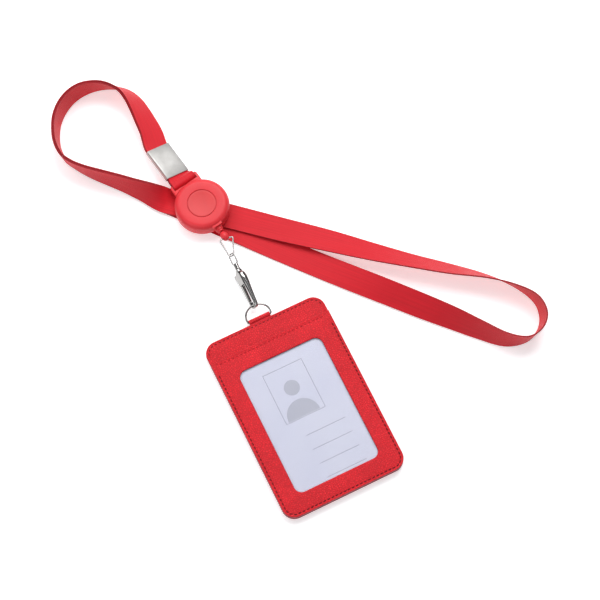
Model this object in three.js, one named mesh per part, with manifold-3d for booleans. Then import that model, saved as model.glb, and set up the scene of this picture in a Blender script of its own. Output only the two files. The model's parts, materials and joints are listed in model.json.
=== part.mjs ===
// Retractable lanyard badge holder, laid flat: a 15 mm ribbon neck strap with a metal crimp,
// a spring reel, a swivel snap hook and a stitched card holder with a clear window.
//
// Millimetres, +Z up. The origin is the centre of the holder's back face, +Y runs along the holder
// to its D-ring, and +Z points out of the window. The strap's lower edges rest on Z = 0.
import * as THREE from 'three';
import { mergeVertices } from 'three/addons/utils/BufferGeometryUtils.js';
import Module from 'manifold-3d';

const wasm = await Module();
wasm.setup();

// ---------------------------------------------------------------- driving dimensions

const GAP = 0.3; // clearance between pieces that touch or run in each other
const LAYER_GAP = 0.1; // clearance between the flat layers of the holder
const DEG = Math.PI / 180;

// Card holder: flat layers stacked from the back face up.
const HOLDER_WIDTH = 75;
const HOLDER_HEIGHT = 113;
const HOLDER_CORNER = 7.5;
const LEATHER = 0.8;
const LINING = 0.5;
const BOARD = 0.5;
const BOARD_INSET = 4.5;
const BOARD_CORNER = 3;
const CARD_WIDTH = 54;
const CARD_LENGTH = 85.6;
const CARD_THICK = 0.76;
const CARD_CORNER = 3.2;
const CARD_MID_Y = -7;
const FILM = 0.24;
const FILM_CORNER = 2;
const FILM_OVERLAP = 3.6; // how far the clear film runs behind the window frame
const WINDOW_WIDTH = 51.8;
const WINDOW_HEIGHT = 78;
const WINDOW_CORNER = 4.5;
const WINDOW_MID_Y = -6;
const POCKET_EDGE_Y = 44.5; // mouth of both pockets
const POCKET_SIDE = 29.8; // half width of the space for the card and the film
const THUMB_NOTCH = 8; // radius of the cut in the back pocket's mouth

// Tab and D-ring at the holder's top edge.
const TAB_WIDTH = 13.2;
const TAB_TAIL = 9;
const TAB_BORE = 0.9;
const TAB_ROLL = 1.5;
const D_WIRE = 0.6;
const D_HALF_WIDTH = 7.5;
const D_HEIGHT = 8.3;
const D_CORNER = 1.4;
const D_BOW = 0.62; // share of the ring's height over which its sides pull in
const D_FLANK = 0.55; // share of its half width where the crown starts
const D_TILT = 17 * DEG;
const D_BAR = new THREE.Vector3(0.2, 58.1, 1.6);

// Swivel hook. Its own Y axis runs from the nose to the eye.
const HOOK_NOSE = new THREE.Vector3(0.6, 64.2, 3.9);
const HOOK_YAW = -1.6 * DEG;
const HOOK_PITCH = 3.9 * DEG;
const HOOK_ROLL = -60 * DEG;
const HOOK_LENGTH = 24.8;
const HOOK_CHEEK = [3.3, 2.4]; // half width of the hook, and how far that is from its nose
const HOOK_HEAD = [4.1, 18.6];
const HOOK_NECK = [1.9, 23.6];
const NOSE_HALF_WIDTH = 1.6;
const SWIVEL_HALF_WIDTH = 1.7;
const HOOK_DEPTHS = [[-0.2, 1.1], [0.6, 1.25], [6, 1.4], [12, 1.75], [16, 2.15], [20, 2.3], [23, 2.1],
  [HOOK_LENGTH + 0.1, 1.7]]; // half thickness along it
const HOOK_OPENING = 1.75; // half width of the space that holds the D-ring
const HOOK_INNER_END = 15.2;
const NOSE_BAR = 1.0;
const TIP_END = 4.4; // where the hook's tip stops and the gate starts
const GATE_OUTER = -3.15;
const GATE_INNER = -2.0;
const GATE_PIVOT = new THREE.Vector3(-2.75, 16.8, 0);
const GATE_HALF_THICK = 0.95;
const GATE_TAB_END = 22.6;
const GATE_TAB = [[-3.4, 21.0], [-4.4, GATE_TAB_END], [-5.5, GATE_TAB_END - 0.2]];
const GATE_HEEL = [-4.3, 18.8];
const LEVER_SLOT_END = 23.4;
const PIN_RADIUS = 0.42;
const PIN_HALF_LENGTH = 1.9;
const PIN_PLAY = 0.15;
const GATE_COIL_RADIUS = 0.82;
const GATE_COIL_HALF = 0.36;
const STEM_RADIUS = 0.8;
const STEM_HEAD_RADIUS = 1.2;
const COLLAR_RADIUS = 1.5;
const THROUGH = 6; // reach of a tool that cuts right through the hook
const EYE_ROLL = 52 * DEG;
const EYE_WIRE = 0.45;
const EYE_HALF_WIDTH = 2.25;
const EYE_START = 28.2;
const EYE_END = 35.0; // centre line of the eye's far end
const EYE_SHOULDER = 1.6;

// Reel. Its own Y axis runs from the cord's mouth to the strap's crimp.
const REEL_MID = new THREE.Vector3(-0.8, 133, 0);
const REEL_TURN = 9.6 * DEG;
const REEL_RADIUS = 16;
const REEL_BOTTOM = 2.2;
const REEL_PART = 7.5; // height of the parting line
const REEL_TOP = 11.7;
const REEL_WALL = 1.2;
const REEL_FLOOR = 1.4;
const REEL_FILLET = 3.5;
const SEAM = 0.1; // half the gap between the two halves of the case
const DEEP = 20; // reach of a tool that cuts right through the case
const LABEL_RADIUS = 8.5;
const LABEL_DEPTH = 0.6;
const LUG_HALF_WIDTH = 9.2;
const LUG_START = 9;
const LUG_CORNER = 1.2;
const LUG_BOTTOM = 5.2;
const LUG_TOP = 8.2;
const SLOT_HALF_WIDTH = 7.8;
const SLOT_START = 16.3;
const BAR_Y = 19.1;
const BAR_Z = 6.7;
const BAR_RADIUS = 1.2;
const CORD_Z = 6.4;
const CORD_RADIUS = 0.45;
const MOUTH_END = -19.3;
const NECK_END = -18.2;
const NECK_RADIUS = 2.4;
const LIP_RADIUS = 1.9;
const RIB_HALF_WIDTH = 3;
const RIB_TOP = REEL_TOP - 1.2;
const RIB_BOTTOM = REEL_TOP - 2.4;
const BEAD_MID = -22.7;
const BEAD_HALF_LENGTH = 3.0;
const BEAD_RADIUS = 2.3;
const BEAD_EYE_Y = -24.4;
const BEAD_TURN = -18.9 * DEG; // the bead's cross hole is turned to follow the hook
const PIN_SHAFT = 1.5;
const PIN_HEAD = 2.7;
const SPOOL_WEB = 0.7;
const DRUM_OUTER = 11.2;
const DRUM_INNER = 10.2;
const CORD_WOUND = [11.5, 12.9]; // inner and outer radius of the cord on its drum
const SPRING_COIL = [2.4, 9.5]; // inner and outer radius of the power spring
const SPRING_TURNS = 5;
const SPRING_THICK = 0.35;
const SPRING_WIDTH = 3.6;

// Triangle ring between the cord's bead and the hook's eye.
const TRI_WIRE = 0.5;
const TRI_HALF_WIDTH = 3.7;
const TRI_ROUND = 0.9; // size of its two base corners
const TRI_BLUNT = 1.5; // half width of its blunt apex
const TRI_ENDS = [-2.6, -3.1]; // where its two wire ends meet on the base
const TRI_APEX = new THREE.Vector3(1.5, 97.95, 6.1);

// Neck strap: ribbon, crimp and the short loop that holds the reel.
const RIBBON_WIDTH = 15;
const RIBBON_THICK = 0.8;
const LAYER_PITCH = RIBBON_THICK + GAP; // from one layer of ribbon to the layer on it
const CRIMP_START = 25;
const CRIMP_END = 46;
const CRIMP_WALL = 0.3;
const CRIMP_TILT = 24 * DEG; // its left edge is raised
const CRIMP_RISE = 0.7;
const CRIMP_SIDE = -1;

// Route of the ribbon's middle line: x, y, roll in degrees (positive raises the edge on the left of
// the way it runs) and rise off the surface. It leaves the crimp, stands up on its outer edge round
// the small loop, and lies down again where it passes under the reel.
const SMALL_LOOP = [
  [-7.7, 167.8, 24, 0.7], [-8.9, 174.7, 24, 0.7], [-9.7, 179.7, 25, 0.6], [-8.4, 188.6, 31, 0.3],
  [-8.3, 196.5, 37, 0.1], [-8.5, 204.1, 44, 0], [-9.2, 211.1, 51, 0], [-11.2, 217.5, 60, 0],
  [-14.7, 222.4, 69, 0], [-20.5, 226.8, 80, 0], [-27, 229.5, 88, 0], [-34.5, 230.4, 95, 0],
  [-41.9, 228.9, 98, 0], [-48.8, 225, 99, 0], [-54.4, 219.4, 98, 0], [-58.3, 212.4, 97, 0],
  [-60.7, 204.6, 97, 0], [-60.5, 196.4, 98, 0], [-57.2, 189.8, 97, 0], [-52.6, 183.6, 92, 0],
  [-47.3, 177.8, 86, 0], [-36.8, 167, 76, 0], [-31.7, 161.4, 69, 0], [-26.5, 155.8, 58, 0],
  [-21.6, 150.4, 38, 0],
];
// The ribbon then runs out on top of its own return, round the far bend, and back under the reel.
const BIG_LOOP = [
  [-16, 145.4, 6, 1.1], [-10, 140, 0, 1.1], [0, 131.6, 0, 1.1], [10, 123.4, 0, 1.1],
  [34.5, 101.6, -4, 1.1], [56, 82.8, -14, 0.8], [75, 66, -28, 0.1], [93.5, 50, -41, 0],
  [111.5, 35.3, -50, 0], [128, 22, -65, 0], [140, 9.5, -78, 0], [147, -2.5, -91, 0],
  [146.5, -13, -100, 0], [140.5, -20, -100, 0], [131, -22, -93, 0], [120, -16.5, -75, 0],
  [109, -4, -60, 0], [99, 8.5, -46, 0], [86, 24, -32, 0], [72, 40.5, -24, 0],
  [58, 57, -12, 0], [44, 73.5, -4, 0], [23.7, 97.8, 0, 0], [10.7, 113.8, 0, 0],
  [0, 126.6, 0, 0], [-9, 137.3, 0, 0], [-16, 145.4, -6, 0],
];

// ---------------------------------------------------------------- materials

function paint(hex, roughness, metalness) {
  return new THREE.MeshStandardMaterial({ color: hex, roughness, metalness });
}

const RIBBON_RED = paint(0xe8384a, 0.75, 0);
const LEATHER_RED = paint(0xd9363f, 0.55, 0);
const LINING_RED = paint(0xc93039, 0.7, 0);
const PLASTIC_CORAL = paint(0xf0565c, 0.35, 0);
const LABEL_CORAL = paint(0xea5a5c, 0.4, 0);
const NICKEL = paint(0xc9cbcd, 0.2, 1);
const SATIN_STEEL = paint(0xb9b8b4, 0.4, 1);
const SPRING_STEEL = paint(0x8f959c, 0.3, 1);
const WHITE_NYLON = paint(0xe6e4df, 0.5, 0);
const CORD_RED = paint(0xc83a44, 0.8, 0);
const GREY_BOARD = paint(0x8a857c, 0.9, 0);
const CLEAR_FILM = paint(0xe8eef2, 0.08, 0);
const CARD_WHITE = paint(0xe6e6f2, 0.5, 0);

// ---------------------------------------------------------------- solids

function outward(geometry) {
  const index = geometry.index.array;
  const p = geometry.attributes.position;
  const [a, b, c] = [new THREE.Vector3(), new THREE.Vector3(), new THREE.Vector3()];
  let volume = 0;
  for (let i = 0; i < index.length; i += 3) {
    a.fromBufferAttribute(p, index[i]);
    b.fromBufferAttribute(p, index[i + 1]);
    c.fromBufferAttribute(p, index[i + 2]);
    volume += a.dot(b.cross(c));
  }
  if (volume < 0) {
    for (let i = 0; i < index.length; i += 3) {
      [index[i], index[i + 1]] = [index[i + 1], index[i]];
    }
  }
  return geometry;
}

function welded(geometry) {
  const bare = geometry.clone();
  bare.deleteAttribute('normal');
  bare.deleteAttribute('uv');
  return outward(mergeVertices(bare, 1e-4));
}

function toManifold(geometry) {
  const closed = welded(geometry);
  return new wasm.Manifold(new wasm.Mesh({
    numProp: 3,
    vertProperties: new Float32Array(closed.attributes.position.array),
    triVerts: new Uint32Array(closed.index.array),
  }));
}

function toGeometry(manifold) {
  const mesh = manifold.getMesh();
  const geometry = new THREE.BufferGeometry();
  geometry.setAttribute('position', new THREE.BufferAttribute(mesh.vertProperties, 3));
  geometry.setIndex(new THREE.BufferAttribute(mesh.triVerts, 1));
  return geometry;
}

function join(...geometries) {
  return toGeometry(geometries.map(toManifold).reduce((a, b) => a.add(b)));
}

function cut(base, ...tools) {
  return toGeometry(tools.map(toManifold).reduce((a, b) => a.subtract(b), toManifold(base)));
}

function common(a, b) {
  return toGeometry(toManifold(a).intersect(toManifold(b)));
}

function box(x0, x1, y0, y1, z0, z1) {
  const geometry = new THREE.BoxGeometry(x1 - x0, y1 - y0, z1 - z0);
  return geometry.translate((x0 + x1) / 2, (y0 + y1) / 2, (z0 + z1) / 2);
}

function prism(shape, z0, z1, curveSegments = 6) {
  const geometry = new THREE.ExtrudeGeometry(shape, { depth: z1 - z0, bevelEnabled: false, curveSegments });
  return geometry.translate(0, 0, z0);
}

function disc(radius, z0, z1, sides = 32) {
  const geometry = new THREE.CylinderGeometry(radius, radius, z1 - z0, sides);
  return geometry.rotateX(Math.PI / 2).translate(0, 0, (z0 + z1) / 2);
}

// A round bar along Y, and one along X.
function rodY(radius, y0, y1, sides = 16) {
  return new THREE.CylinderGeometry(radius, radius, y1 - y0, sides).translate(0, (y0 + y1) / 2, 0);
}

function rodX(radius, x0, x1, sides = 16) {
  const geometry = new THREE.CylinderGeometry(radius, radius, x1 - x0, sides);
  return geometry.rotateZ(Math.PI / 2).translate((x0 + x1) / 2, 0, 0);
}

// A turned shape about Z from a closed profile of [radius, z] points.
function turned(profile, sides = 40) {
  const points = [...profile, profile[0]].map(([r, z]) => new THREE.Vector2(r, z));
  return new THREE.LatheGeometry(points, sides).rotateX(Math.PI / 2);
}

function roundedRect(x0, x1, y0, y1, r) {
  const shape = new THREE.Shape();
  shape.moveTo(x0 + r, y0);
  shape.lineTo(x1 - r, y0);
  shape.absarc(x1 - r, y0 + r, r, -Math.PI / 2, 0);
  shape.lineTo(x1, y1 - r);
  shape.absarc(x1 - r, y1 - r, r, 0, Math.PI / 2);
  shape.lineTo(x0 + r, y1);
  shape.absarc(x0 + r, y1 - r, r, Math.PI / 2, Math.PI);
  shape.lineTo(x0, y0 + r);
  shape.absarc(x0 + r, y0 + r, r, Math.PI, Math.PI * 1.5);
  return shape;
}

// Skin over a row of equal rings of points. A closed row joins its last ring to its first, and an
// open one is capped at both ends.
function skin(rings, closed = false) {
  const sides = rings[0].length;
  const positions = rings.flat().flatMap((v) => [v.x, v.y, v.z]);
  const index = [];
  const last = closed ? rings.length : rings.length - 1;
  for (let i = 0; i < last; i += 1) {
    const here = i * sides;
    const next = ((i + 1) % rings.length) * sides;
    for (let j = 0; j < sides; j += 1) {
      const k = (j + 1) % sides;
      index.push(here + j, next + j, here + k, here + k, next + j, next + k);
    }
  }
  if (!closed) {
    const end = (rings.length - 1) * sides;
    for (let j = 1; j < sides - 1; j += 1) {
      index.push(0, j, j + 1, end, end + j + 1, end + j);
    }
  }
  const geometry = new THREE.BufferGeometry();
  geometry.setAttribute('position', new THREE.Float32BufferAttribute(positions, 3));
  geometry.setIndex(index);
  return outward(geometry);
}

// Round wire along a flat curve that lies in the XY plane.
function wire(curve, radius, steps, sides, closed) {
  const rings = [];
  const count = closed ? steps : steps + 1;
  for (let i = 0; i < count; i += 1) {
    const mid = curve.getPointAt(i / steps);
    const along = curve.getTangentAt(i / steps);
    const ring = [];
    for (let j = 0; j < sides; j += 1) {
      const angle = (j / sides) * 2 * Math.PI;
      const side = radius * Math.cos(angle);
      ring.push(new THREE.Vector3(mid.x - along.y * side, mid.y + along.x * side, radius * Math.sin(angle)));
    }
    rings.push(ring);
  }
  return skin(rings, closed);
}

// Flat ribbon through stations of { mid, across, up }, both unit vectors.
function ribbon(stations) {
  const corners = [[-1, -1], [1, -1], [1, 1], [-1, 1]];
  const rings = stations.map(({ mid, across, up }) => corners.map(([s, t]) => mid.clone()
    .addScaledVector(across, (s * RIBBON_WIDTH) / 2)
    .addScaledVector(up, (t * RIBBON_THICK) / 2)));
  return skin(rings);
}

const group = new THREE.Group();

function add(parent, name, geometry, material) {
  const mesh = new THREE.Mesh(geometry, material.clone());
  mesh.name = name;
  parent.add(mesh);
  return mesh;
}

// ---------------------------------------------------------------- card holder

const HOLDER_TOP = HOLDER_HEIGHT / 2;

function holderShape() {
  return roundedRect(-HOLDER_WIDTH / 2, HOLDER_WIDTH / 2, -HOLDER_TOP, HOLDER_TOP, HOLDER_CORNER);
}

// A pocket panel has the holder's round corners below and a straight mouth above.
function pocketShape() {
  const half = HOLDER_WIDTH / 2;
  const bottom = -HOLDER_TOP;
  const corner = HOLDER_CORNER;
  const shape = new THREE.Shape();
  shape.moveTo(-half + corner, bottom);
  shape.lineTo(half - corner, bottom);
  shape.absarc(half - corner, bottom + corner, corner, -Math.PI / 2, 0);
  shape.lineTo(half, POCKET_EDGE_Y);
  shape.lineTo(-half, POCKET_EDGE_Y);
  shape.lineTo(-half, bottom + corner);
  shape.absarc(-half + corner, bottom + corner, corner, Math.PI, Math.PI * 1.5);
  return shape;
}

const BACK_Z = LEATHER + LAYER_GAP;
const BOARD_Z = BACK_Z + LEATHER + LAYER_GAP;
const LINING_Z = BOARD_Z + BOARD + LAYER_GAP;
const CARD_Z = LINING_Z + LINING + LAYER_GAP;
const FILM_Z = CARD_Z + CARD_THICK + LAYER_GAP;
const FRONT_Z = FILM_Z + FILM + LAYER_GAP;

function backPocketPanel() {
  const notch = disc(THUMB_NOTCH, -1, LEATHER + 1, 24).translate(0, POCKET_EDGE_Y, 0);
  return cut(prism(pocketShape(), 0, LEATHER), notch);
}

function stiffenerBoard() {
  const half = HOLDER_WIDTH / 2 - BOARD_INSET;
  const bottom = -HOLDER_HEIGHT / 2 + BOARD_INSET;
  const top = HOLDER_TOP - TAB_TAIL - 1;
  return prism(roundedRect(-half, half, bottom, top, BOARD_CORNER), BOARD_Z, BOARD_Z + BOARD);
}

// The front panel carries the window and is hollow behind it, open at the pocket's mouth.
function frontPocketPanel() {
  const halfWindow = WINDOW_WIDTH / 2;
  const windowShape = roundedRect(-halfWindow, halfWindow, WINDOW_MID_Y - WINDOW_HEIGHT / 2,
    WINDOW_MID_Y + WINDOW_HEIGHT / 2, WINDOW_CORNER);
  const pocketEnd = CARD_MID_Y - CARD_LENGTH / 2 - GAP;
  const space = box(-POCKET_SIDE, POCKET_SIDE, pocketEnd, POCKET_EDGE_Y + 1, CARD_Z - 1, FRONT_Z);
  return cut(prism(pocketShape(), CARD_Z, FRONT_Z + LEATHER), prism(windowShape, 0, 2 * FRONT_Z), space);
}

function windowFilm() {
  const half = WINDOW_WIDTH / 2 + FILM_OVERLAP;
  const reach = WINDOW_HEIGHT / 2 + FILM_OVERLAP;
  const shape = roundedRect(-half, half, WINDOW_MID_Y - reach, WINDOW_MID_Y + reach, FILM_CORNER);
  return prism(shape, FILM_Z, FILM_Z + FILM);
}

function idCard() {
  const half = CARD_WIDTH / 2;
  const reach = CARD_LENGTH / 2;
  const shape = roundedRect(-half, half, CARD_MID_Y - reach, CARD_MID_Y + reach, CARD_CORNER);
  return prism(shape, CARD_Z, CARD_Z + CARD_THICK);
}

// A strip of leather rolled round the D-ring's bar, with its tail between the layers.
function dRingTab() {
  const half = TAB_WIDTH / 2;
  const roll = rodX(TAB_ROLL, -half, half, 20).translate(0, D_BAR.y, D_BAR.z);
  const bore = rodX(TAB_BORE, -half - 1, half + 1, 20).translate(0, D_BAR.y, D_BAR.z);
  const tail = box(-half, half, HOLDER_TOP - TAB_TAIL, D_BAR.y - TAB_BORE / 2, BOARD_Z, BOARD_Z + BOARD);
  return cut(join(roll, tail), bore);
}

function dRing() {
  const path = new THREE.CurvePath();
  const corner = D_CORNER;
  const side = D_HALF_WIDTH;
  const left = new THREE.Vector3(-side, corner, 0);
  const right = new THREE.Vector3(side, corner, 0);
  const crown = D_HEIGHT - corner;
  path.add(new THREE.LineCurve3(new THREE.Vector3(-side + corner, 0, 0),
    new THREE.Vector3(side - corner, 0, 0)));
  path.add(new THREE.QuadraticBezierCurve3(path.curves[0].v2, new THREE.Vector3(side, 0, 0), right));
  const bow = crown * D_BOW;
  const flank = side * D_FLANK;
  const top = new THREE.Vector3(0, D_HEIGHT, 0);
  path.add(new THREE.CubicBezierCurve3(right, new THREE.Vector3(side, corner + bow, 0),
    new THREE.Vector3(flank, D_HEIGHT, 0), top));
  path.add(new THREE.CubicBezierCurve3(top, new THREE.Vector3(-flank, D_HEIGHT, 0),
    new THREE.Vector3(-side, corner + bow, 0), left));
  path.add(new THREE.QuadraticBezierCurve3(left, new THREE.Vector3(-side, 0, 0), path.curves[0].v1));
  return wire(path, D_WIRE, 44, 10, true);
}

function buildHolder() {
  add(group, 'back_pocket_panel', backPocketPanel(), LEATHER_RED);
  add(group, 'back_panel', prism(holderShape(), BACK_Z, BACK_Z + LEATHER), LEATHER_RED);
  add(group, 'stiffener_board', stiffenerBoard(), GREY_BOARD);
  add(group, 'front_lining', prism(holderShape(), LINING_Z, LINING_Z + LINING), LINING_RED);
  add(group, 'front_pocket_panel', frontPocketPanel(), LEATHER_RED);
  add(group, 'window_film', windowFilm(), CLEAR_FILM);
  add(group, 'd_ring_tab', dRingTab(), LEATHER_RED);
  add(group, 'id_card', idCard(), CARD_WHITE);
  const ring = add(group, 'd_ring', dRing(), NICKEL);
  ring.position.copy(D_BAR);
  ring.rotation.x = D_TILT;
}

// ---------------------------------------------------------------- swivel hook

// Outline of the hook seen on its flat: nose at Y = 0, gate on the left, spine on the right.
function hookOutline() {
  const [cheek, cheekY] = HOOK_CHEEK;
  const [head, headY] = HOOK_HEAD;
  const [neck, neckY] = HOOK_NECK;
  const shape = new THREE.Shape();
  shape.moveTo(-NOSE_HALF_WIDTH, 0);
  shape.lineTo(NOSE_HALF_WIDTH, 0);
  shape.quadraticCurveTo(cheek - 0.2, 0.2, cheek, cheekY);
  shape.bezierCurveTo(cheek + 0.2, headY * 0.4, head - 0.1, headY * 0.75, head, headY);
  shape.quadraticCurveTo(head + 0.1, neckY - 1.2, neck, neckY);
  shape.lineTo(SWIVEL_HALF_WIDTH, HOOK_LENGTH);
  shape.lineTo(-SWIVEL_HALF_WIDTH, HOOK_LENGTH);
  shape.lineTo(-neck, neckY);
  shape.quadraticCurveTo(-head - 0.1, neckY - 1.2, -head, headY);
  shape.bezierCurveTo(-head + 0.1, headY * 0.75, -cheek - 0.2, headY * 0.4, -cheek, cheekY);
  shape.quadraticCurveTo(-cheek + 0.2, 0.2, -NOSE_HALF_WIDTH, 0);
  return shape;
}

// Rounded body that gives the hook its thickness, thin at the nose and full at the head.
function hookLens() {
  const sides = 16;
  const halfWidth = HOOK_HEAD[0] + 0.5;
  const fullness = (v) => Math.sign(v) * Math.abs(v) ** 0.6;
  const rings = HOOK_DEPTHS.map(([y, half]) => {
    const ring = [];
    for (let j = 0; j < sides; j += 1) {
      const angle = (j / sides) * 2 * Math.PI;
      const across = halfWidth * fullness(Math.cos(angle));
      ring.push(new THREE.Vector3(across, y, half * fullness(Math.sin(angle))));
    }
    return ring;
  });
  return skin(rings);
}

function gatePinBore() {
  return disc(PIN_RADIUS + PIN_PLAY, -THROUGH, THROUGH, 12).translate(GATE_PIVOT.x, GATE_PIVOT.y, 0);
}

function hookBody() {
  const slotStart = HOOK_INNER_END - 1;
  const slotHalf = GATE_HALF_THICK + GAP;
  const opening = prism(roundedRect(-HOOK_OPENING, HOOK_OPENING, NOSE_BAR, HOOK_INNER_END, 0.7), -THROUGH,
    THROUGH);
  const gateWay = box(-THROUGH, -HOOK_OPENING + 0.1, TIP_END, HOOK_INNER_END, -THROUGH, THROUGH);
  const leverSlot = box(-THROUGH, GATE_INNER + GAP, slotStart, LEVER_SLOT_END, -slotHalf, slotHalf);
  const stemBore = rodY(STEM_RADIUS + 0.2, slotStart, HOOK_LENGTH + 1);
  const body = common(prism(hookOutline(), -THROUGH, THROUGH, 8), hookLens());
  return cut(body, opening, gateWay, leverSlot, stemBore, gatePinBore());
}

// The gate is a lever: its long arm closes the hook and its short arm ends in a thumb tab.
function hookGate() {
  const shape = new THREE.Shape();
  const front = TIP_END + GAP;
  const tab = GATE_TAB.map(([x, y]) => new THREE.Vector2(x, y));
  shape.moveTo(GATE_OUTER, front);
  shape.lineTo(GATE_INNER, front);
  shape.lineTo(GATE_INNER, tab[0].y - 0.8);
  tab.forEach((corner) => shape.lineTo(corner.x, corner.y));
  shape.quadraticCurveTo(tab[2].x - 0.2, tab[2].y - 1.8, ...GATE_HEEL);
  shape.lineTo(GATE_OUTER - 0.6, GATE_PIVOT.y - 2.8);
  const body = prism(shape, -GATE_HALF_THICK, GATE_HALF_THICK);
  const coilHalf = GATE_COIL_HALF + PIN_PLAY;
  const coilSpace = disc(GATE_COIL_RADIUS + PIN_PLAY, -coilHalf, coilHalf, 20)
    .translate(GATE_PIVOT.x, GATE_PIVOT.y, 0);
  return cut(body, gatePinBore(), coilSpace);
}

function gateSpring() {
  const [inner, outer, half] = [PIN_RADIUS + 0.12, GATE_COIL_RADIUS, GATE_COIL_HALF];
  const profile = [[inner, -half], [outer, -half], [outer, half], [inner, half]];
  return turned(profile, 16).translate(GATE_PIVOT.x, GATE_PIVOT.y, 0);
}

// Eye with the stem that the hook turns on. The stem's head sits inside the hook.
function swivelEye() {
  const w = EYE_HALF_WIDTH;
  const start = EYE_START + EYE_WIRE;
  const path = new THREE.CurvePath();
  const point = (x, y) => new THREE.Vector3(x, y, 0);
  const shoulder = EYE_END - EYE_SHOULDER;
  path.add(new THREE.LineCurve3(point(-w + 1, start), point(w - 1, start)));
  path.add(new THREE.QuadraticBezierCurve3(point(w - 1, start), point(w, start), point(w, start + 1)));
  path.add(new THREE.LineCurve3(point(w, start + 1), point(w, shoulder)));
  path.add(new THREE.QuadraticBezierCurve3(point(w, shoulder), point(w, EYE_END), point(0, EYE_END)));
  path.add(new THREE.QuadraticBezierCurve3(point(0, EYE_END), point(-w, EYE_END), point(-w, shoulder)));
  path.add(new THREE.LineCurve3(point(-w, shoulder), point(-w, start + 1)));
  path.add(new THREE.QuadraticBezierCurve3(point(-w, start + 1), point(-w, start), point(-w + 1, start)));
  const loop = wire(path, EYE_WIRE, 40, 8, true);
  const collar = rodY(COLLAR_RADIUS, HOOK_LENGTH + GAP, EYE_START + 0.5, 20);
  const stem = rodY(STEM_RADIUS, HOOK_INNER_END - 0.9, HOOK_LENGTH + 1);
  const head = rodY(STEM_HEAD_RADIUS, HOOK_INNER_END - 1, HOOK_INNER_END - 0.2);
  return join(loop, collar, stem, head);
}

function buildHook() {
  const axis = new THREE.Group();
  axis.position.copy(HOOK_NOSE);
  axis.rotation.set(HOOK_PITCH, 0, HOOK_YAW, 'ZXY');
  group.add(axis);
  const hook = new THREE.Group();
  hook.rotation.y = HOOK_ROLL;
  axis.add(hook);
  add(hook, 'hook_body', hookBody(), NICKEL);
  add(hook, 'hook_gate', hookGate(), NICKEL);
  const pin = disc(PIN_RADIUS, -PIN_HALF_LENGTH, PIN_HALF_LENGTH, 12);
  pin.translate(GATE_PIVOT.x, GATE_PIVOT.y, 0);
  add(hook, 'gate_pin', pin, SATIN_STEEL);
  add(hook, 'gate_spring', gateSpring(), SPRING_STEEL);
  const eye = add(axis, 'swivel_eye', swivelEye(), NICKEL);
  eye.rotation.y = -EYE_ROLL;
}

// ---------------------------------------------------------------- reel

// The case's outline: a circle with a lug that carries the strap's bar.
function backCase() {
  const r = REEL_RADIUS;
  const inner = r - REEL_WALL;
  const floorTop = REEL_BOTTOM + REEL_FLOOR;
  const profile = [[0, REEL_BOTTOM], [r - 1, REEL_BOTTOM], [r - 0.3, REEL_BOTTOM + 0.3],
    [r, REEL_BOTTOM + 1], [r, REEL_PART - SEAM], [inner, REEL_PART - SEAM], [inner, floorTop],
    [0, floorTop]];
  const cup = new THREE.LatheGeometry(profile.map(([x, z]) => new THREE.Vector2(x, z)), 48)
    .rotateX(Math.PI / 2);
  const cheekEnd = BAR_Y + BAR_RADIUS;
  const lugShape = roundedRect(-LUG_HALF_WIDTH, LUG_HALF_WIDTH, LUG_START, cheekEnd, LUG_CORNER);
  const lugBlock = cut(prism(lugShape, LUG_BOTTOM, LUG_TOP, 3), disc(inner + 0.4, 0, DEEP, 48),
    disc(r + GAP, REEL_PART - SEAM, DEEP, 48));
  const slot = box(-SLOT_HALF_WIDTH, SLOT_HALF_WIDTH, SLOT_START, cheekEnd + 1, 0, DEEP);
  const lug = join(cut(lugBlock, slot),
    rodX(BAR_RADIUS, -SLOT_HALF_WIDTH - 0.5, SLOT_HALF_WIDTH + 0.5).translate(0, BAR_Y, BAR_Z));
  const neck = rodY(NECK_RADIUS, NECK_END, -inner - 0.3, 20).translate(0, 0, CORD_Z);
  const lip = rodY(LIP_RADIUS, MOUTH_END, NECK_END + 0.2, 20).translate(0, 0, CORD_Z);
  const bore = rodY(CORD_RADIUS + GAP, MOUTH_END - 1, -inner + 1, 12).translate(0, 0, CORD_Z);
  const pinHole = disc(PIN_SHAFT + PIN_PLAY, 0, floorTop + 1, 20);
  const headSpace = disc(PIN_HEAD + GAP, 0, REEL_BOTTOM + 0.9, 24);
  return cut(join(cup, lug, neck, lip), bore, pinHole, headSpace);
}

function frontCase() {
  const r = REEL_RADIUS;
  const inner = r - REEL_WALL;
  const base = REEL_PART + SEAM;
  const outside = [];
  const steps = 6;
  for (let i = 0; i <= steps; i += 1) {
    const angle = (i / steps) * (Math.PI / 2);
    outside.push([r - REEL_FILLET * (1 - Math.cos(angle)), REEL_TOP - REEL_FILLET * (1 - Math.sin(angle))]);
  }
  const ceiling = CASE_CEILING;
  const profile = [[0, ceiling], [inner - 1.6, ceiling], [inner, ceiling - 1.6],
    [inner, base], ...outside, [LABEL_RADIUS + 0.3, REEL_TOP], [LABEL_RADIUS, REEL_TOP - 0.2],
    [LABEL_RADIUS, REEL_TOP - LABEL_DEPTH], [0, REEL_TOP - LABEL_DEPTH]];
  const shell = new THREE.LatheGeometry(profile.map(([x, z]) => new THREE.Vector2(x, z)), 48)
    .rotateX(Math.PI / 2);
  const rib = cut(box(-RIB_HALF_WIDTH, RIB_HALF_WIDTH, -r - 0.3, -inner + 0.4, RIB_BOTTOM, RIB_TOP),
    disc(inner + 0.2, 0, DEEP, 48));
  const neckSpace = rodY(NECK_RADIUS + GAP, -r - 1, -inner + 1, 20).translate(0, 0, CORD_Z);
  return cut(join(shell, rib), neckSpace);
}

const CASE_CEILING = REEL_TOP - REEL_WALL - LABEL_DEPTH;
const SPOOL_BOTTOM = REEL_BOTTOM + REEL_FLOOR + GAP;
const SPOOL_TOP = CASE_CEILING - GAP;
const HUB_BORE = PIN_SHAFT + GAP;

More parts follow.
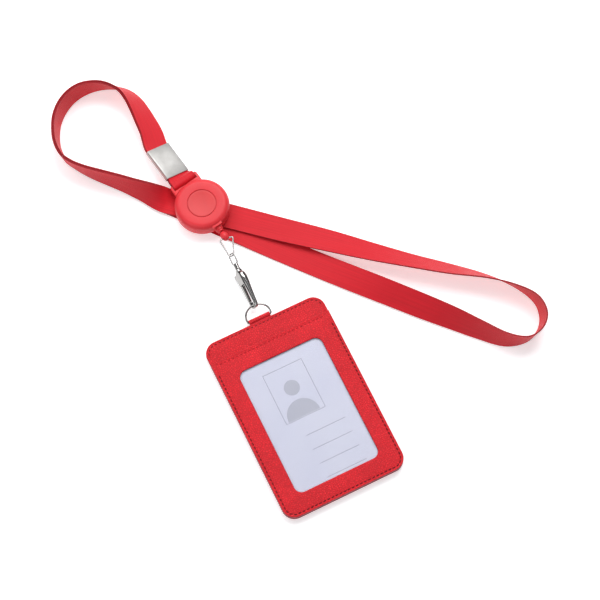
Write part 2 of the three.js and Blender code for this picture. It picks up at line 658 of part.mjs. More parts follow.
// Spool: two flanges on a drum, hollow inside for the spring.
function spool() {
  const rim = REEL_RADIUS - REEL_WALL - 2 * GAP;
  const topRim = rim - 1.6;
  const edge = 0.2;
  const webTop = SPOOL_BOTTOM + SPOOL_WEB;
  const profile = [[HUB_BORE, SPOOL_BOTTOM], [rim, SPOOL_BOTTOM], [rim - edge, webTop], [DRUM_OUTER, webTop],
    [DRUM_OUTER, SPOOL_TOP - SPOOL_WEB], [topRim, SPOOL_TOP - SPOOL_WEB], [topRim - edge, SPOOL_TOP],
    [DRUM_INNER, SPOOL_TOP], [DRUM_INNER, webTop], [HUB_BORE, webTop]];
  return turned(profile, 40);
}

function springCover() {
  const [low, high] = [SPOOL_TOP - SPOOL_WEB, SPOOL_TOP - LAYER_GAP];
  const edge = DRUM_INNER - GAP;
  return turned([[HUB_BORE, low], [edge, low], [edge, high], [HUB_BORE, high]], 32);
}

function woundCord() {
  const bottom = SPOOL_BOTTOM + SPOOL_WEB + GAP;
  const top = SPOOL_TOP - SPOOL_WEB - GAP;
  const [inner, outer] = CORD_WOUND;
  const edge = 0.5;
  return turned([[inner, bottom], [outer - GAP, bottom], [outer, bottom + edge], [outer, top - edge],
    [outer - GAP, top], [inner, top]], 36);
}

// Flat steel strip wound in a spiral from the pin to the drum.
function powerSpring() {
  const [start, end] = SPRING_COIL;
  const steps = SPRING_TURNS * 18;
  const outer = [];
  const inner = [];
  for (let i = 0; i <= steps; i += 1) {
    const angle = (i / steps) * SPRING_TURNS * 2 * Math.PI;
    const radius = start + ((end - start) * i) / steps;
    const point = (r) => new THREE.Vector2(r * Math.cos(angle), r * Math.sin(angle));
    outer.push(point(radius + SPRING_THICK / 2));
    inner.unshift(point(radius - SPRING_THICK / 2));
  }
  const bottom = SPOOL_BOTTOM + SPOOL_WEB + GAP;
  return prism(new THREE.Shape([...outer, ...inner]), bottom, bottom + SPRING_WIDTH);
}

// The hub pin is split at its top, where the spring's inner end hooks in.
function hubPin() {
  const head = disc(PIN_HEAD, REEL_BOTTOM + 0.15, REEL_BOTTOM + 0.75, 24);
  const shaft = disc(PIN_SHAFT, REEL_BOTTOM + 0.3, CASE_CEILING - 0.2, 20);
  const slit = box(-0.25, 0.25, 0.2, PIN_SHAFT + 1, REEL_BOTTOM + REEL_FLOOR + 1.2, DEEP);
  return cut(join(head, shaft), slit);
}

// Stopper bead on the cord's end, with a cross hole for the triangle ring.
function cordBead() {
  const ball = new THREE.SphereGeometry(BEAD_RADIUS, 24, 16)
    .scale(1, BEAD_HALF_LENGTH / BEAD_RADIUS, 1).translate(0, BEAD_MID, CORD_Z);
  const wide = 2 * BEAD_RADIUS;
  const seat = box(-wide, wide, MOUTH_END - GAP, 0, 0, DEEP);
  const eye = rodX(TRI_WIRE + GAP, -wide, wide, 12).rotateZ(BEAD_TURN).translate(0, BEAD_EYE_Y, CORD_Z);
  const socket = rodY(CORD_RADIUS + GAP, BEAD_MID + 0.6, 0, 12).translate(0, 0, CORD_Z);
  return cut(ball, seat, eye, socket);
}

function pullCord() {
  return rodY(CORD_RADIUS, BEAD_MID + 0.9, -REEL_RADIUS + REEL_WALL + 0.7, 10).translate(0, 0, CORD_Z);
}

function buildReel() {
  const reel = new THREE.Group();
  reel.position.copy(REEL_MID);
  reel.rotation.z = REEL_TURN;
  group.add(reel);
  add(reel, 'reel_back_case', backCase(), PLASTIC_CORAL);
  add(reel, 'reel_front_case', frontCase(), PLASTIC_CORAL);
  const label = disc(LABEL_RADIUS - GAP, REEL_TOP - LABEL_DEPTH + LAYER_GAP, REEL_TOP - LAYER_GAP, 40);
  add(reel, 'label_disc', label, LABEL_CORAL);
  add(reel, 'hub_pin', hubPin(), SATIN_STEEL);
  add(reel, 'spool', spool(), WHITE_NYLON);
  add(reel, 'spring_cover', springCover(), WHITE_NYLON);
  add(reel, 'power_spring', powerSpring(), SPRING_STEEL);
  add(reel, 'wound_cord', woundCord(), CORD_RED);
  add(reel, 'pull_cord', pullCord(), CORD_RED);
  add(reel, 'cord_bead', cordBead(), PLASTIC_CORAL);
  add(reel, 'crimp_sleeve', crimpSleeve(), SATIN_STEEL);
  add(reel, 'reel_loop', reelLoop(), RIBBON_RED);
  reel.updateMatrix();
  const base = new THREE.Vector3(0, BEAD_EYE_Y, CORD_Z).applyMatrix4(reel.matrix);
  const ring = add(group, 'triangle_ring', triangleRing(base.distanceTo(TRI_APEX)), NICKEL);
  const down = TRI_APEX.clone().sub(base).normalize();
  const side = new THREE.Vector3(-down.y, down.x, 0).normalize();
  const face = new THREE.Vector3().crossVectors(side, down);
  ring.applyMatrix4(new THREE.Matrix4().makeBasis(side, down, face).setPosition(base));
}

// Wire triangle: its base runs through the bead, its blunt apex holds the hook's eye, and its ends
// meet with a small gap beside the bead.
function triangleRing(height) {
  const w = TRI_HALF_WIDTH;
  const point = (x, y) => new THREE.Vector3(x, y, 0);
  const [round, blunt] = [TRI_ROUND, TRI_BLUNT];
  const [baseEnd, sideEnd] = TRI_ENDS;
  const crown = height - 0.9;
  const path = new THREE.CurvePath();
  path.add(new THREE.LineCurve3(point(baseEnd, 0), point(w - round, 0)));
  path.add(new THREE.QuadraticBezierCurve3(point(w - round, 0), point(w + 0.3, 0), point(w, round + 0.3)));
  path.add(new THREE.LineCurve3(point(w, round + 0.3), point(blunt, crown)));
  const tip = point(0, height);
  path.add(new THREE.QuadraticBezierCurve3(point(blunt, crown), point(blunt - 0.3, height), tip));
  path.add(new THREE.QuadraticBezierCurve3(tip, point(0.3 - blunt, height), point(-blunt, crown)));
  path.add(new THREE.LineCurve3(point(-blunt, crown), point(-w, round + 0.3)));
  const end = point(sideEnd, 0.05);
  path.add(new THREE.QuadraticBezierCurve3(point(-w, round + 0.3), point(-w - 0.2, 0.4), end));
  return wire(path, TRI_WIRE, 52, 8, false);
}

// ---------------------------------------------------------------- neck strap

// Unit vectors of the tilted crimp in the reel's frame.
const CRIMP_ACROSS = new THREE.Vector3(-Math.cos(CRIMP_TILT), 0, Math.sin(CRIMP_TILT));
const CRIMP_UP = new THREE.Vector3(Math.sin(CRIMP_TILT), 0, Math.cos(CRIMP_TILT));

function crimpMid() {
  const halfWidth = RIBBON_WIDTH / 2;
  const flat = (RIBBON_THICK / 2) * Math.cos(CRIMP_TILT);
  return new THREE.Vector3(CRIMP_SIDE, 0, halfWidth * Math.sin(CRIMP_TILT) + flat)
    .addScaledVector(CRIMP_UP, CRIMP_RISE + LAYER_PITCH / 2);
}

// Metal band folded round two layers of ribbon at each of its mouths.
function crimpSleeve() {
  const inHalf = RIBBON_WIDTH / 2 + GAP;
  const inHigh = (LAYER_PITCH + RIBBON_THICK) / 2 + GAP;
  const outHalf = inHalf + CRIMP_WALL;
  const outHigh = inHigh + CRIMP_WALL;
  const corner = 0.45;
  const outside = roundedRect(-outHalf, outHalf, -outHigh, outHigh, corner + CRIMP_WALL);
  const inside = roundedRect(-inHalf, inHalf, -inHigh, inHigh, corner);
  const tube = cut(prism(outside, CRIMP_START, CRIMP_END, 4),
    prism(inside, CRIMP_START - 1, CRIMP_END + 1, 4));
  const basis = new THREE.Matrix4().makeBasis(CRIMP_ACROSS, CRIMP_UP, new THREE.Vector3(0, 1, 0));
  return tube.applyMatrix4(basis).translate(...crimpMid());
}

// Short loop of ribbon: out of the crimp, round the reel's bar and back into the crimp.
function reelLoop() {
  const mid = crimpMid();
  const inside = (CRIMP_START + CRIMP_END) / 2 - 0.8;
  const leave = BAR_Y + BAR_RADIUS;
  const radius = BAR_RADIUS + GAP + RIBBON_THICK / 2;
  const steps = 6;
  const run = (sign) => {
    const stations = [];
    for (const y of [inside, CRIMP_START - GAP]) {
      stations.push({ mid: mid.clone().setY(y).addScaledVector(CRIMP_UP, (sign * LAYER_PITCH) / 2),
        across: CRIMP_ACROSS.clone(), up: CRIMP_UP.clone() });
    }
    for (let i = 1; i < steps; i += 1) {
      const t = i / steps;
      const ease = t * t * (3 - 2 * t);
      const roll = CRIMP_TILT * (1 - ease);
      const up = new THREE.Vector3(Math.sin(roll), 0, Math.cos(roll));
      const start = stations[1].mid;
      const end = new THREE.Vector3(0, leave, BAR_Z + sign * radius);
      const point = start.clone().lerp(end, ease).setY(THREE.MathUtils.lerp(start.y, end.y, t));
      stations.push({ mid: point, across: new THREE.Vector3(-Math.cos(roll), 0, Math.sin(roll)), up });
    }
    return stations;
  };
  const turn = [];
  const turnSteps = 10;
  for (let i = 0; i <= turnSteps; i += 1) {
    const angle = (i / turnSteps) * Math.PI;
    const up = new THREE.Vector3(0, -Math.sin(angle), -Math.cos(angle));
    turn.push({ mid: new THREE.Vector3(0, BAR_Y, BAR_Z).addScaledVector(up, radius),
      across: new THREE.Vector3(-1, 0, 0), up });
  }
  const flipUp = (station) => ({ ...station, up: station.up.clone().negate() });
  return ribbon([...run(-1).map(flipUp), ...turn, ...run(1).reverse()]);
}

// The strap's route out and back as one list; the return runs the small loop the other way, under
// the first layer.
function strapRoute() {
  const out = SMALL_LOOP.map(([x, y, roll, rise]) => [x, y, roll, rise + LAYER_PITCH]);
  const back = SMALL_LOOP.map(([x, y, roll, rise]) => [x, y, -roll, rise]).reverse();
  return [...out, ...BIG_LOOP, ...back];
}

function neckStrap() {
  const route = strapRoute();
  const path = new THREE.CatmullRomCurve3(route.map(([x, y]) => new THREE.Vector3(x, y, 0)), false,
    'catmullrom', 0.5);
  const lean = new THREE.CatmullRomCurve3(
    route.map(([, , roll, rise]) => new THREE.Vector3(roll * DEG, rise, 0)), false, 'catmullrom', 0.5);
  const stations = [];
  const steps = (route.length - 1) * 2;
  for (let i = 0; i <= steps; i += 1) {
    const t = i / steps;
    const along = path.getTangent(t);
    const { x: roll, y: rise } = lean.getPoint(t);
    const left = new THREE.Vector3(-along.y, along.x, 0);
    const across = left.multiplyScalar(Math.cos(roll)).add(new THREE.Vector3(0, 0, Math.sin(roll)));
    const up = new THREE.Vector3().crossVectors(along, across).normalize();
    const height = (RIBBON_WIDTH / 2) * Math.abs(Math.sin(roll))
      + (RIBBON_THICK / 2) * Math.abs(Math.cos(roll));
    const mid = path.getPoint(t).setZ(height).addScaledVector(up, Math.max(rise, 0));
    mid.setZ(Math.max(mid.z, height));
    stations.push({ mid, across, up });
  }
  return ribbon(stations);
}

// ---------------------------------------------------------------- assembly

buildHolder();
buildHook();
buildReel();
add(group, 'neck_strap', neckStrap(), RIBBON_RED);

export default group;
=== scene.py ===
# Looks of the retractable lanyard badge holder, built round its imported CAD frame. Metres, +Z up.
import json
import math

import bmesh
import bpy
from mathutils import Matrix, Vector


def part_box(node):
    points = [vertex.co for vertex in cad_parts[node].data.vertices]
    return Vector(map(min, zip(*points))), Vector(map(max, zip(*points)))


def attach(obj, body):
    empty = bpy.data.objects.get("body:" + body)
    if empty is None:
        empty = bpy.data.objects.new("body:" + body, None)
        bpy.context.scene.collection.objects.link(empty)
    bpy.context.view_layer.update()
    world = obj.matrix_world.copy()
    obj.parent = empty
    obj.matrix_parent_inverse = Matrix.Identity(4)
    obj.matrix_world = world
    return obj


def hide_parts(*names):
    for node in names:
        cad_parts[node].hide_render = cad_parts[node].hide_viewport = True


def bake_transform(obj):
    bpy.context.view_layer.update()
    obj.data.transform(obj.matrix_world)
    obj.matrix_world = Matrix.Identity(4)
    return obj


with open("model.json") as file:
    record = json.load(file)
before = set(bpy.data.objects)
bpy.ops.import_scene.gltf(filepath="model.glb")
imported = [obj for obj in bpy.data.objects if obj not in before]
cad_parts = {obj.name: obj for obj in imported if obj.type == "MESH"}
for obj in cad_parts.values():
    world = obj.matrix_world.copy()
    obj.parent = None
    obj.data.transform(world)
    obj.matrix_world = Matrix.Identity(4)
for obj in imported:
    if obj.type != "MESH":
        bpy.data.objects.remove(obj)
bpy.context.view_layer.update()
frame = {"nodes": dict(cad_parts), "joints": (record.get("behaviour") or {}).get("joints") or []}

MM = 0.001
JOINTS = {j["name"]: j for j in frame["joints"]}

# ---- driving dimensions, in millimetres

# Card holder: heights of the leather layers come from the frame's own boxes.
HOLDER_CORNER = 7.5
STITCH_INSET = 1.7
STITCH_PITCH = 2.55
STITCH_LENGTH = 1.7
STITCH_RADIUS = 0.30
EDGE_ROUND = 0.28
WINDOW_WIDTH = 51.8
WINDOW_HEIGHT = 78
WINDOW_CORNER = 4.5
WINDOW_MID_Y = -6
POCKET_SIDE = 29.8
THUMB_NOTCH = 8

# Tab and D-ring.
TAB_BORE = 0.9
TAB_ROLL = 1.5
D_WIRE = 0.6
D_HALF_WIDTH = 7.5
D_CORNER = 1.4

# Swivel hook, along its own Y axis from the nose to the eye.
SWIVEL_FROM_NOSE = 25.0
HOOK_LENGTH = 24.8
HOOK_OPENING = 1.75
HOOK_INNER_END = 15.2
NOSE_BAR = 1.0
TIP_END = 4.4
GATE_PIVOT = (-2.75, 16.8)
GATE_HALF_THICK = 0.95
GATE_INNER = -2.0
GATE_OUTER = -3.15
GATE_TAB_END = 22.6
LEVER_SLOT_END = 23.4
STEM_RADIUS = 0.8
PIN_RADIUS = 0.42
EYE_WIRE = 0.45
EYE_HALF_WIDTH = 2.25
EYE_START = 28.2
EYE_END = 35.0

# Reel, in its own frame: Y runs from the cord's mouth to the crimp.
REEL_RADIUS = 16
REEL_BOTTOM = 2.2
REEL_PART = 7.5
REEL_TOP = 11.7
REEL_WALL = 1.2
REEL_FLOOR = 1.4
REEL_FILLET = 3.5
LABEL_RADIUS = 8.5
LABEL_DEPTH = 0.6
LUG_HALF_WIDTH = 9.2
LUG_BOTTOM = 5.2
LUG_TOP = 8.2
LUG_START = 9.0
SLOT_HALF_WIDTH = 7.8
SLOT_START = 16.3
BAR_Y = 19.1
BAR_Z = 6.7
BAR_RADIUS = 1.2
CORD_Z = 6.4
CORD_RADIUS = 0.45
MOUTH_END = -19.3
NECK_END = -18.2
NECK_RADIUS = 2.4
BEAD_MID = -22.7
BEAD_HALF_LENGTH = 3.0
BEAD_RADIUS = 2.3
BEAD_EYE_Y = -24.4
BEAD_TURN = math.radians(-18.9)

# Triangle ring.
TRI_WIRE = 0.5
DRAWN = 0.93  # round wire drawn a little under its nominal size
TRI_HALF_WIDTH = 3.7
TRI_APEX = Vector((1.5, 97.95, 6.1))

# Neck strap, and its crimp in the reel's frame.
RIBBON_WIDTH = 15
RIBBON_THICK = 0.8
GAP = 0.3
LAYER_PITCH = RIBBON_THICK + GAP
CRIMP_START = 25
CRIMP_END = 46
CRIMP_WALL = 0.3
CRIMP_TILT = math.radians(24)
CRIMP_RISE = 0.7
CRIMP_SIDE = -1

# Route of the ribbon's middle line, in metres: x, y, roll in degrees and rise off the surface.
SMALL_LOOP = [
    (-0.0077, 0.1678, 24, 0.0007), (-0.0089, 0.1747, 24, 0.0007), (-0.0097, 0.1797, 25, 0.0006),
    (-0.0084, 0.1886, 31, 0.0003), (-0.0083, 0.1965, 37, 0.0001), (-0.0085, 0.2041, 44, 0),
    (-0.0092, 0.2111, 51, 0), (-0.0112, 0.2175, 60, 0), (-0.0147, 0.2224, 69, 0),
    (-0.0205, 0.2268, 80, 0), (-0.0270, 0.2295, 88, 0), (-0.0345, 0.2304, 95, 0),
    (-0.0419, 0.2289, 98, 0), (-0.0488, 0.2250, 99, 0), (-0.0544, 0.2194, 98, 0),
    (-0.0583, 0.2124, 97, 0), (-0.0607, 0.2046, 97, 0), (-0.0605, 0.1964, 98, 0),
    (-0.0572, 0.1898, 97, 0), (-0.0526, 0.1836, 92, 0), (-0.0473, 0.1778, 86, 0),
    (-0.0368, 0.1670, 76, 0), (-0.0317, 0.1614, 69, 0), (-0.0265, 0.1558, 58, 0),
    (-0.0216, 0.1504, 38, 0),
]
BIG_LOOP = [
    (-0.0160, 0.1454, 6, 0.0011), (-0.0100, 0.1400, 0, 0.0011), (0, 0.1316, 0, 0.0011),
    (0.0100, 0.1234, 0, 0.0011), (0.0345, 0.1016, -4, 0.0011), (0.0560, 0.0828, -14, 0.0008),
    (0.0750, 0.0660, -28, 0.0001), (0.0935, 0.0500, -41, 0), (0.1115, 0.0353, -50, 0),
    (0.1280, 0.0220, -65, 0), (0.1400, 0.0095, -78, 0), (0.1470, -0.0025, -91, 0),
    (0.1465, -0.0130, -100, 0), (0.1405, -0.0200, -100, 0), (0.1310, -0.0220, -93, 0),
    (0.1200, -0.0165, -75, 0), (0.1090, -0.0040, -60, 0), (0.0990, 0.0085, -46, 0),
    (0.0860, 0.0240, -32, 0), (0.0720, 0.0405, -24, 0), (0.0580, 0.0570, -12, 0),
    (0.0440, 0.0735, -4, 0), (0.0237, 0.0978, 0, 0), (0.0107, 0.1138, 0, 0),
    (0, 0.1266, 0, 0), (-0.0090, 0.1373, 0, 0), (-0.0160, 0.1454, -6, 0),
]

# ---- places, from the frame's joints


def joint_point(name):
    return Vector(JOINTS[name]["pos_m"])


def joint_axis(name):
    return Vector(JOINTS[name]["axis"]).normalized()


def local_frame(origin, x, y, z):
    """Matrix from a sub-part's own millimetres to the row frame's metres."""
    m = Matrix((x, y, z)).transposed().to_4x4()
    m.translation = origin
    return m @ Matrix.Scale(MM, 4)


UP = Vector((0, 0, 1))


def reel_frame():
    origin = joint_point("spool_spin")
    origin.z = 0
    y = -joint_axis("cord_pull")
    return local_frame(origin, y.cross(UP), y, UP)


def hook_frame(x):
    y = joint_axis("hook_swivel")
    return local_frame(joint_point("hook_swivel") - y * SWIVEL_FROM_NOSE * MM, x, y, x.cross(y))


def dee_frame():
    base = joint_point("holder_fold")
    y = (joint_point("dee_swing") - base).normalized()
    x = -joint_axis("holder_fold")
    if x.x < 0:
        x = -x
    return local_frame(base, x, y, x.cross(y))


REEL = reel_frame()
HOOK = hook_frame(joint_axis("hook_swivel").cross(joint_axis("gate_open")))
EYE = hook_frame(-joint_axis("eye_swing"))
DEE = dee_frame()
ROW = Matrix.Scale(MM, 4)
D_HEIGHT = (joint_point("dee_swing") - joint_point("holder_fold")).length / MM

# ---- materials


def set_stops(ramp, stops):
    while len(ramp.elements) < len(stops):
        ramp.elements.new(0.5)
    for element, (place, colour) in zip(ramp.elements, stops):
        element.position = place
        element.color = (*colour, 1)


class Nodes:
    """Short names for building one material's nodes."""

    def __init__(self, name, slot):
        self.material = bpy.data.materials.new(name)
        self.material.use_nodes = True
        self.tree = self.material.node_tree
        self.material["slot"] = slot

    def fill(self, socket, value):
        """Links a socket to another node's output, or gives it a value of its own."""
        if isinstance(value, bpy.types.NodeSocket):
            self.tree.links.new(value, socket)
        elif socket.type == "RGBA":
            socket.default_value = (*value, 1)
        else:
            socket.default_value = value

    def node(self, kind, output, inputs, **settings):
        made = self.tree.nodes.new(kind)
        for key, value in settings.items():
            setattr(made, key, value)
        for key, value in inputs.items():
            self.fill(made.inputs[key], value)
        return made.outputs[output]

    def scaled(self, vector, scale):
        return self.node("ShaderNodeMapping", "Vector", {"Vector": vector, "Scale": scale})

    def place(self, scale=(1, 1, 1)):
        """Position on the piece at rest, scaled, so that the pattern moves with the piece."""
        return self.scaled(self.node("ShaderNodeTexCoord", "Object", {}), scale)

    def noise(self, vector, size, detail=3.0, roughness=0.5):
        """Soft noise whose grains have the given size in millimetres."""
        inputs = {"Vector": vector, "Scale": 1 / (size * MM), "Detail": detail, "Roughness": roughness}
        return self.node("ShaderNodeTexNoise", "Fac", inputs)

    def cells(self, vector, size):
        """Distance to the edge of irregular cells of the given size in millimetres."""
        inputs = {"Vector": vector, "Scale": 1 / (size * MM)}
        return self.node("ShaderNodeTexVoronoi", "Distance", inputs, feature="DISTANCE_TO_EDGE")

    def math(self, operation, a, b=0.5):
        return self.node("ShaderNodeMath", 0, {0: a, 1: b}, operation=operation)

    def ramp(self, fac, stops):
        made = self.tree.nodes.new("ShaderNodeValToRGB")
        set_stops(made.color_ramp, stops)
        self.fill(made.inputs["Fac"], fac)
        return made.outputs["Color"]

    def shades(self, fac, base, low, high, start=0.3, end=0.7):
        """A colour that runs between two shares of its base."""
        return self.ramp(fac, [(start, darker(base, low)), (end, darker(base, high))])

    def mix(self, fac, a, b):
        return self.node("ShaderNodeMix", 2, {"Factor": fac, 6: a, 7: b}, data_type="RGBA")

    def range(self, value, low, high):
        return self.node("ShaderNodeMapRange", "Result", {"Value": value, "To Min": low, "To Max": high})

    def bump(self, height, depth, strength=1.0):
        inputs = {"Height": height, "Distance": depth * MM, "Strength": strength}
        self.set(Normal=self.node("ShaderNodeBump", "Normal", inputs))

    def set(self, **values):
        """Values or links for the shader's own sockets."""
        shader = self.tree.nodes["Principled BSDF"]
        for key, value in values.items():
            self.fill(shader.inputs[key.replace("_", " ")], value)


def darker(colour, share):
    return tuple(c * share for c in colour)


def woven_ribbon():
    """Satin-faced polyester: fine ribs across, warp lines along, and painted shade darkening both edges."""
    warp_pitch, rib_pitch, rib_lean, edge_shade_width = 0.34 * MM, 0.52 * MM, 0.45, 0.2
    red = (0.66, 0.011, 0.022)
    n = Nodes("woven_ribbon", "ribbon")
    flat = n.node("ShaderNodeAttribute", "Vector", {}, attribute_name="flat")
    x, y = (n.node("ShaderNodeSeparateXYZ", axis, {0: flat}) for axis in "XY")
    warp = n.math("SINE", n.math("MULTIPLY", x, 2 * math.pi / warp_pitch))
    twill = n.math("ADD", y, n.math("MULTIPLY", x, rib_lean))
    ribs = n.math("SINE", n.math("MULTIPLY", twill, 2 * math.pi / rib_pitch))
    height = n.math("ADD", n.math("MULTIPLY", warp, 0.35), n.math("MULTIPLY", ribs, 0.65))
    n.bump(height, 0.035)
    streaks = n.noise(n.scaled(flat, (1.9, 0.022, 1)), 1, 4.0)
    body = n.shades(streaks, red, 0.90, 1.07)
    # Painted shade: a darker band along both edges stands for the shade at the ribbon's rounded edges.
    edge = n.math("GREATER_THAN", n.math("ABSOLUTE", x), (RIBBON_WIDTH / 2 - edge_shade_width) * MM)
    n.set(Base_Color=n.mix(edge, body, darker(red, 0.5)), Roughness=n.range(height, 0.50, 0.66),
          Sheen_Weight=0.05, Sheen_Roughness=0.45, Specular_IOR_Level=0.25)
    return n.material


def leather(name, slot, base):
    """Pebbled grain: rounded cells of two sizes with soft creases between them, the creases darkened with
    painted shade.
    """
    pebble, fine_pebble, crease_slope, depth = 1.15, 0.6, 3.2, 0.434
    n = Nodes(name, slot)
    place = n.place()
    coarse = n.cells(place, pebble)
    fine = n.cells(place, fine_pebble)
    n.bump(n.math("ADD", n.math("MINIMUM", coarse, 0.30), n.math("MULTIPLY", fine, 0.35)), depth)
    # Painted shade: the creases between the pebbles are darkened to stand for the shade that falls in them.
    painted_crease_shade = n.range(n.math("MULTIPLY", coarse, crease_slope), 1.0, 0.0)
    body = n.shades(n.noise(place, 14, 4.0, 0.6), base, 0.90, 1.08, 0.35, 0.68)
    n.set(Base_Color=n.mix(n.math("MULTIPLY", painted_crease_shade, 0.6), body, darker(base, 0.42)),
          Roughness=n.range(coarse, 0.58, 0.42), Specular_IOR_Level=0.25)
    return n.material


def painted_edge():
    """The cut edge of the leather, painted a dull dark red with a slightly uneven coat."""
    n = Nodes("painted_edge", "leather")
    coat = n.noise(n.place(), 0.8, 4.0)
    n.set(Base_Color=n.ramp(coat, [(0.3, (0.17, 0.030, 0.044)), (0.75, (0.33, 0.060, 0.074))]),
          Roughness=0.6)
    n.bump(coat, 0.05)
    return n.material


def thread(name, dark, pale):
    """Twisted sewing thread."""
    n = Nodes(name, "leather")
    twist = n.node("ShaderNodeTexWave", "Fac", {"Vector": n.place(), "Scale": 1 / (1.4 * MM)},
                   wave_type="BANDS", bands_direction="DIAGONAL")
    n.set(Base_Color=n.ramp(twist, [(0.1, dark), (0.9, pale)]))
    n.bump(twist, 0.05)
    n.set(Roughness=0.6, Specular_IOR_Level=0.25)
    return n.material


def moulded_plastic(name, slot, base, roughness):
    """Satin moulded plastic: a fine spark texture and faint flow marks."""
    n = Nodes(name, slot)
    flow = n.noise(n.place((1, 0.3, 1)), 7)
    n.set(Base_Color=n.shades(flow, base, 0.95, 1.04), Specular_IOR_Level=0.3,
          Roughness=n.range(flow, roughness - 0.05, roughness + 0.08),
          Subsurface_Weight=0.06, Subsurface_Scale=1.2 * MM)
    n.bump(n.noise(n.place(), 0.16, 2.0), 0.012)
    return n.material


def plated(name, slot, base, roughness):
    """Polished plate over a casting: a slight orange peel and hairline handling scratches."""
    n = Nodes(name, slot)
    peel = n.noise(n.place(), 1.1, 2.0)
    hair = n.noise(n.place((1, 0.06, 1)), 0.12)
    n.set(Base_Color=n.shades(peel, base, 0.93, 1, 0.2, 0.8), Metallic=1.0,
          Roughness=n.range(hair, roughness - 0.04, roughness + 0.12))
    n.bump(peel, 0.01)
    return n.material


def brushed(name, slot, base, along):
    """Brushed sheet metal, its lines running along the squeezed axis, with soft blotches."""
    n = Nodes(name, slot)
    lines = n.noise(n.place(along), 0.10, 4.0, 0.65)
    shade = n.math("ADD", n.math("MULTIPLY", lines, 0.6), n.math("MULTIPLY", n.noise(n.place(), 5), 0.4))
    n.set(Base_Color=n.shades(shade, base, 0.8, 1.15), Roughness=n.range(lines, 0.36, 0.54), Metallic=1.0)
    n.bump(lines, 0.012)
    return n.material


def clear_film():
    """Clear vinyl window with a faint waviness."""
    n = Nodes("clear_film", "clear_film")
    wave = n.noise(n.place(), 22, 2.0)
    n.bump(wave, 0.25, 0.25)
    n.set(Base_Color=n.ramp(wave, [(0.3, (0.88, 0.91, 0.96)), (0.7, (0.93, 0.95, 0.98))]),
          Roughness=0.09, Alpha=0.13, Specular_IOR_Level=0.5)
    return n.material


def card_face():
    """White laminated card with a slight cool tint and a fine paper tooth."""
    n = Nodes("card_face", "card")
    tint = n.noise(n.place(), 40, 2.0)
    n.set(Base_Color=n.ramp(tint, [(0.3, (0.57, 0.575, 0.72)), (0.7, (0.60, 0.605, 0.74))]),
          Roughness=0.38)
    n.bump(n.noise(n.place(), 0.3), 0.004)
    return n.material


def ink(name, base):
    """Flat print, uneven with the paper's tooth."""
    n = Nodes(name, "card")
    n.set(Base_Color=n.shades(n.noise(n.place(), 0.25), base, 0.96, 1.04), Roughness=0.42)
    return n.material


def dull_stock(name, slot, base, roughness):
    """Plain moulded nylon or board with faint flow marks."""
    n = Nodes(name, slot)
    flow = n.noise(n.place(), 2.5)
    n.set(Base_Color=n.shades(flow, base, 0.93, 1),
          Roughness=n.range(flow, roughness - 0.06, roughness + 0.08))
    n.bump(flow, 0.02)
    return n.material


def braided_cord():
    """Fine braid: the small gaps between the crossing strands are darkened with painted shade."""
    n = Nodes("braided_cord", "cord")
    cross = n.cells(n.place(), 0.28)
    # Painted shade: the colour goes dark in the gaps between the strands.
    n.set(Base_Color=n.ramp(cross, [(0.02, (0.22, 0.010, 0.016)), (0.3, (0.60, 0.035, 0.050))]),
          Roughness=0.7)
    n.bump(cross, 0.05)
    return n.material


LEATHER_BASE = (0.84, 0.018, 0.029)
RIBBON = woven_ribbon()
LEATHER = leather("pebbled_leather", "leather", LEATHER_BASE)
LINING = leather("lining_leather", "lining", darker(LEATHER_BASE, 0.97))
EDGE = painted_edge()
# Dark stitching, darkened further with painted shade that stands for the shade in the stitch holes.
DARK_THREAD_WITH_PAINTED_SHADE = thread("dark_thread_with_painted_shade", (0.07, 0.003, 0.006), (0.20, 0.008, 0.014))
RED_THREAD = thread("red_thread", (0.42, 0.010, 0.016), (0.62, 0.015, 0.024))
CORAL = moulded_plastic("coral_plastic", "case_plastic", (0.74, 0.036, 0.046), 0.40)
LABEL = moulded_plastic("label_plastic", "label_plastic", (0.70, 0.056, 0.060), 0.46)
NICKEL = plated("nickel_plate", "nickel", (0.42, 0.41, 0.40), 0.13)
BAND = brushed("brushed_band", "satin_steel", (0.45, 0.44, 0.425), (0.05, 1, 1))
PIN_STEEL = brushed("turned_steel", "satin_steel", (0.60, 0.59, 0.57), (1, 1, 0.05))
SPRING_STEEL = brushed("spring_strip", "spring_steel", (0.42, 0.44, 0.47), (1, 1, 0.05))
FILM = clear_film()
CARD = card_face()
INK_FILL = ink("ink_fill", (0.37, 0.375, 0.47))
INK_LINE = ink("ink_line", (0.16, 0.17, 0.21))
NYLON = dull_stock("white_nylon", "nylon", (0.80, 0.79, 0.76), 0.45)
BOARD = dull_stock("grey_board", "board", (0.30, 0.28, 0.25), 0.85)
CORD = braided_cord()

# ---- mesh building


def finish_mesh(name, verts, faces, materials, matrix, angle=35):
    """A closed mesh in the row frame, faces out, smooth up to the given angle."""
    mesh = bpy.data.meshes.new(name)
    mesh.from_pydata([matrix @ Vector(v) for v in verts], [], faces)
    work = bmesh.new()
    work.from_mesh(mesh)
    bmesh.ops.recalc_face_normals(work, faces=work.faces)
    work.to_mesh(mesh)
    work.free()
    for material in materials:
        mesh.materials.append(material)
    piece = bpy.data.objects.new(name, mesh)
    bpy.context.scene.collection.objects.link(piece)
    soften(piece, angle)
    return piece


def soften(piece, angle=35):
    mesh = piece.data
    mesh.polygons.foreach_set("use_smooth", [True] * len(mesh.polygons))
    mesh.set_sharp_from_angle(angle=math.radians(angle))


def circle(sides):
    turns = [2 * math.pi * j / sides for j in range(sides)]
    return [(math.cos(a), math.sin(a)) for a in turns]


def arc(x, y, radius, start, end, steps=10):
    """Points on an arc between two angles in degrees."""
    made = []
    for i in range(steps + 1):
        a = math.radians(start + (end - start) * i / steps)
        made.append((x + radius * math.cos(a), y + radius * math.sin(a)))
    return made


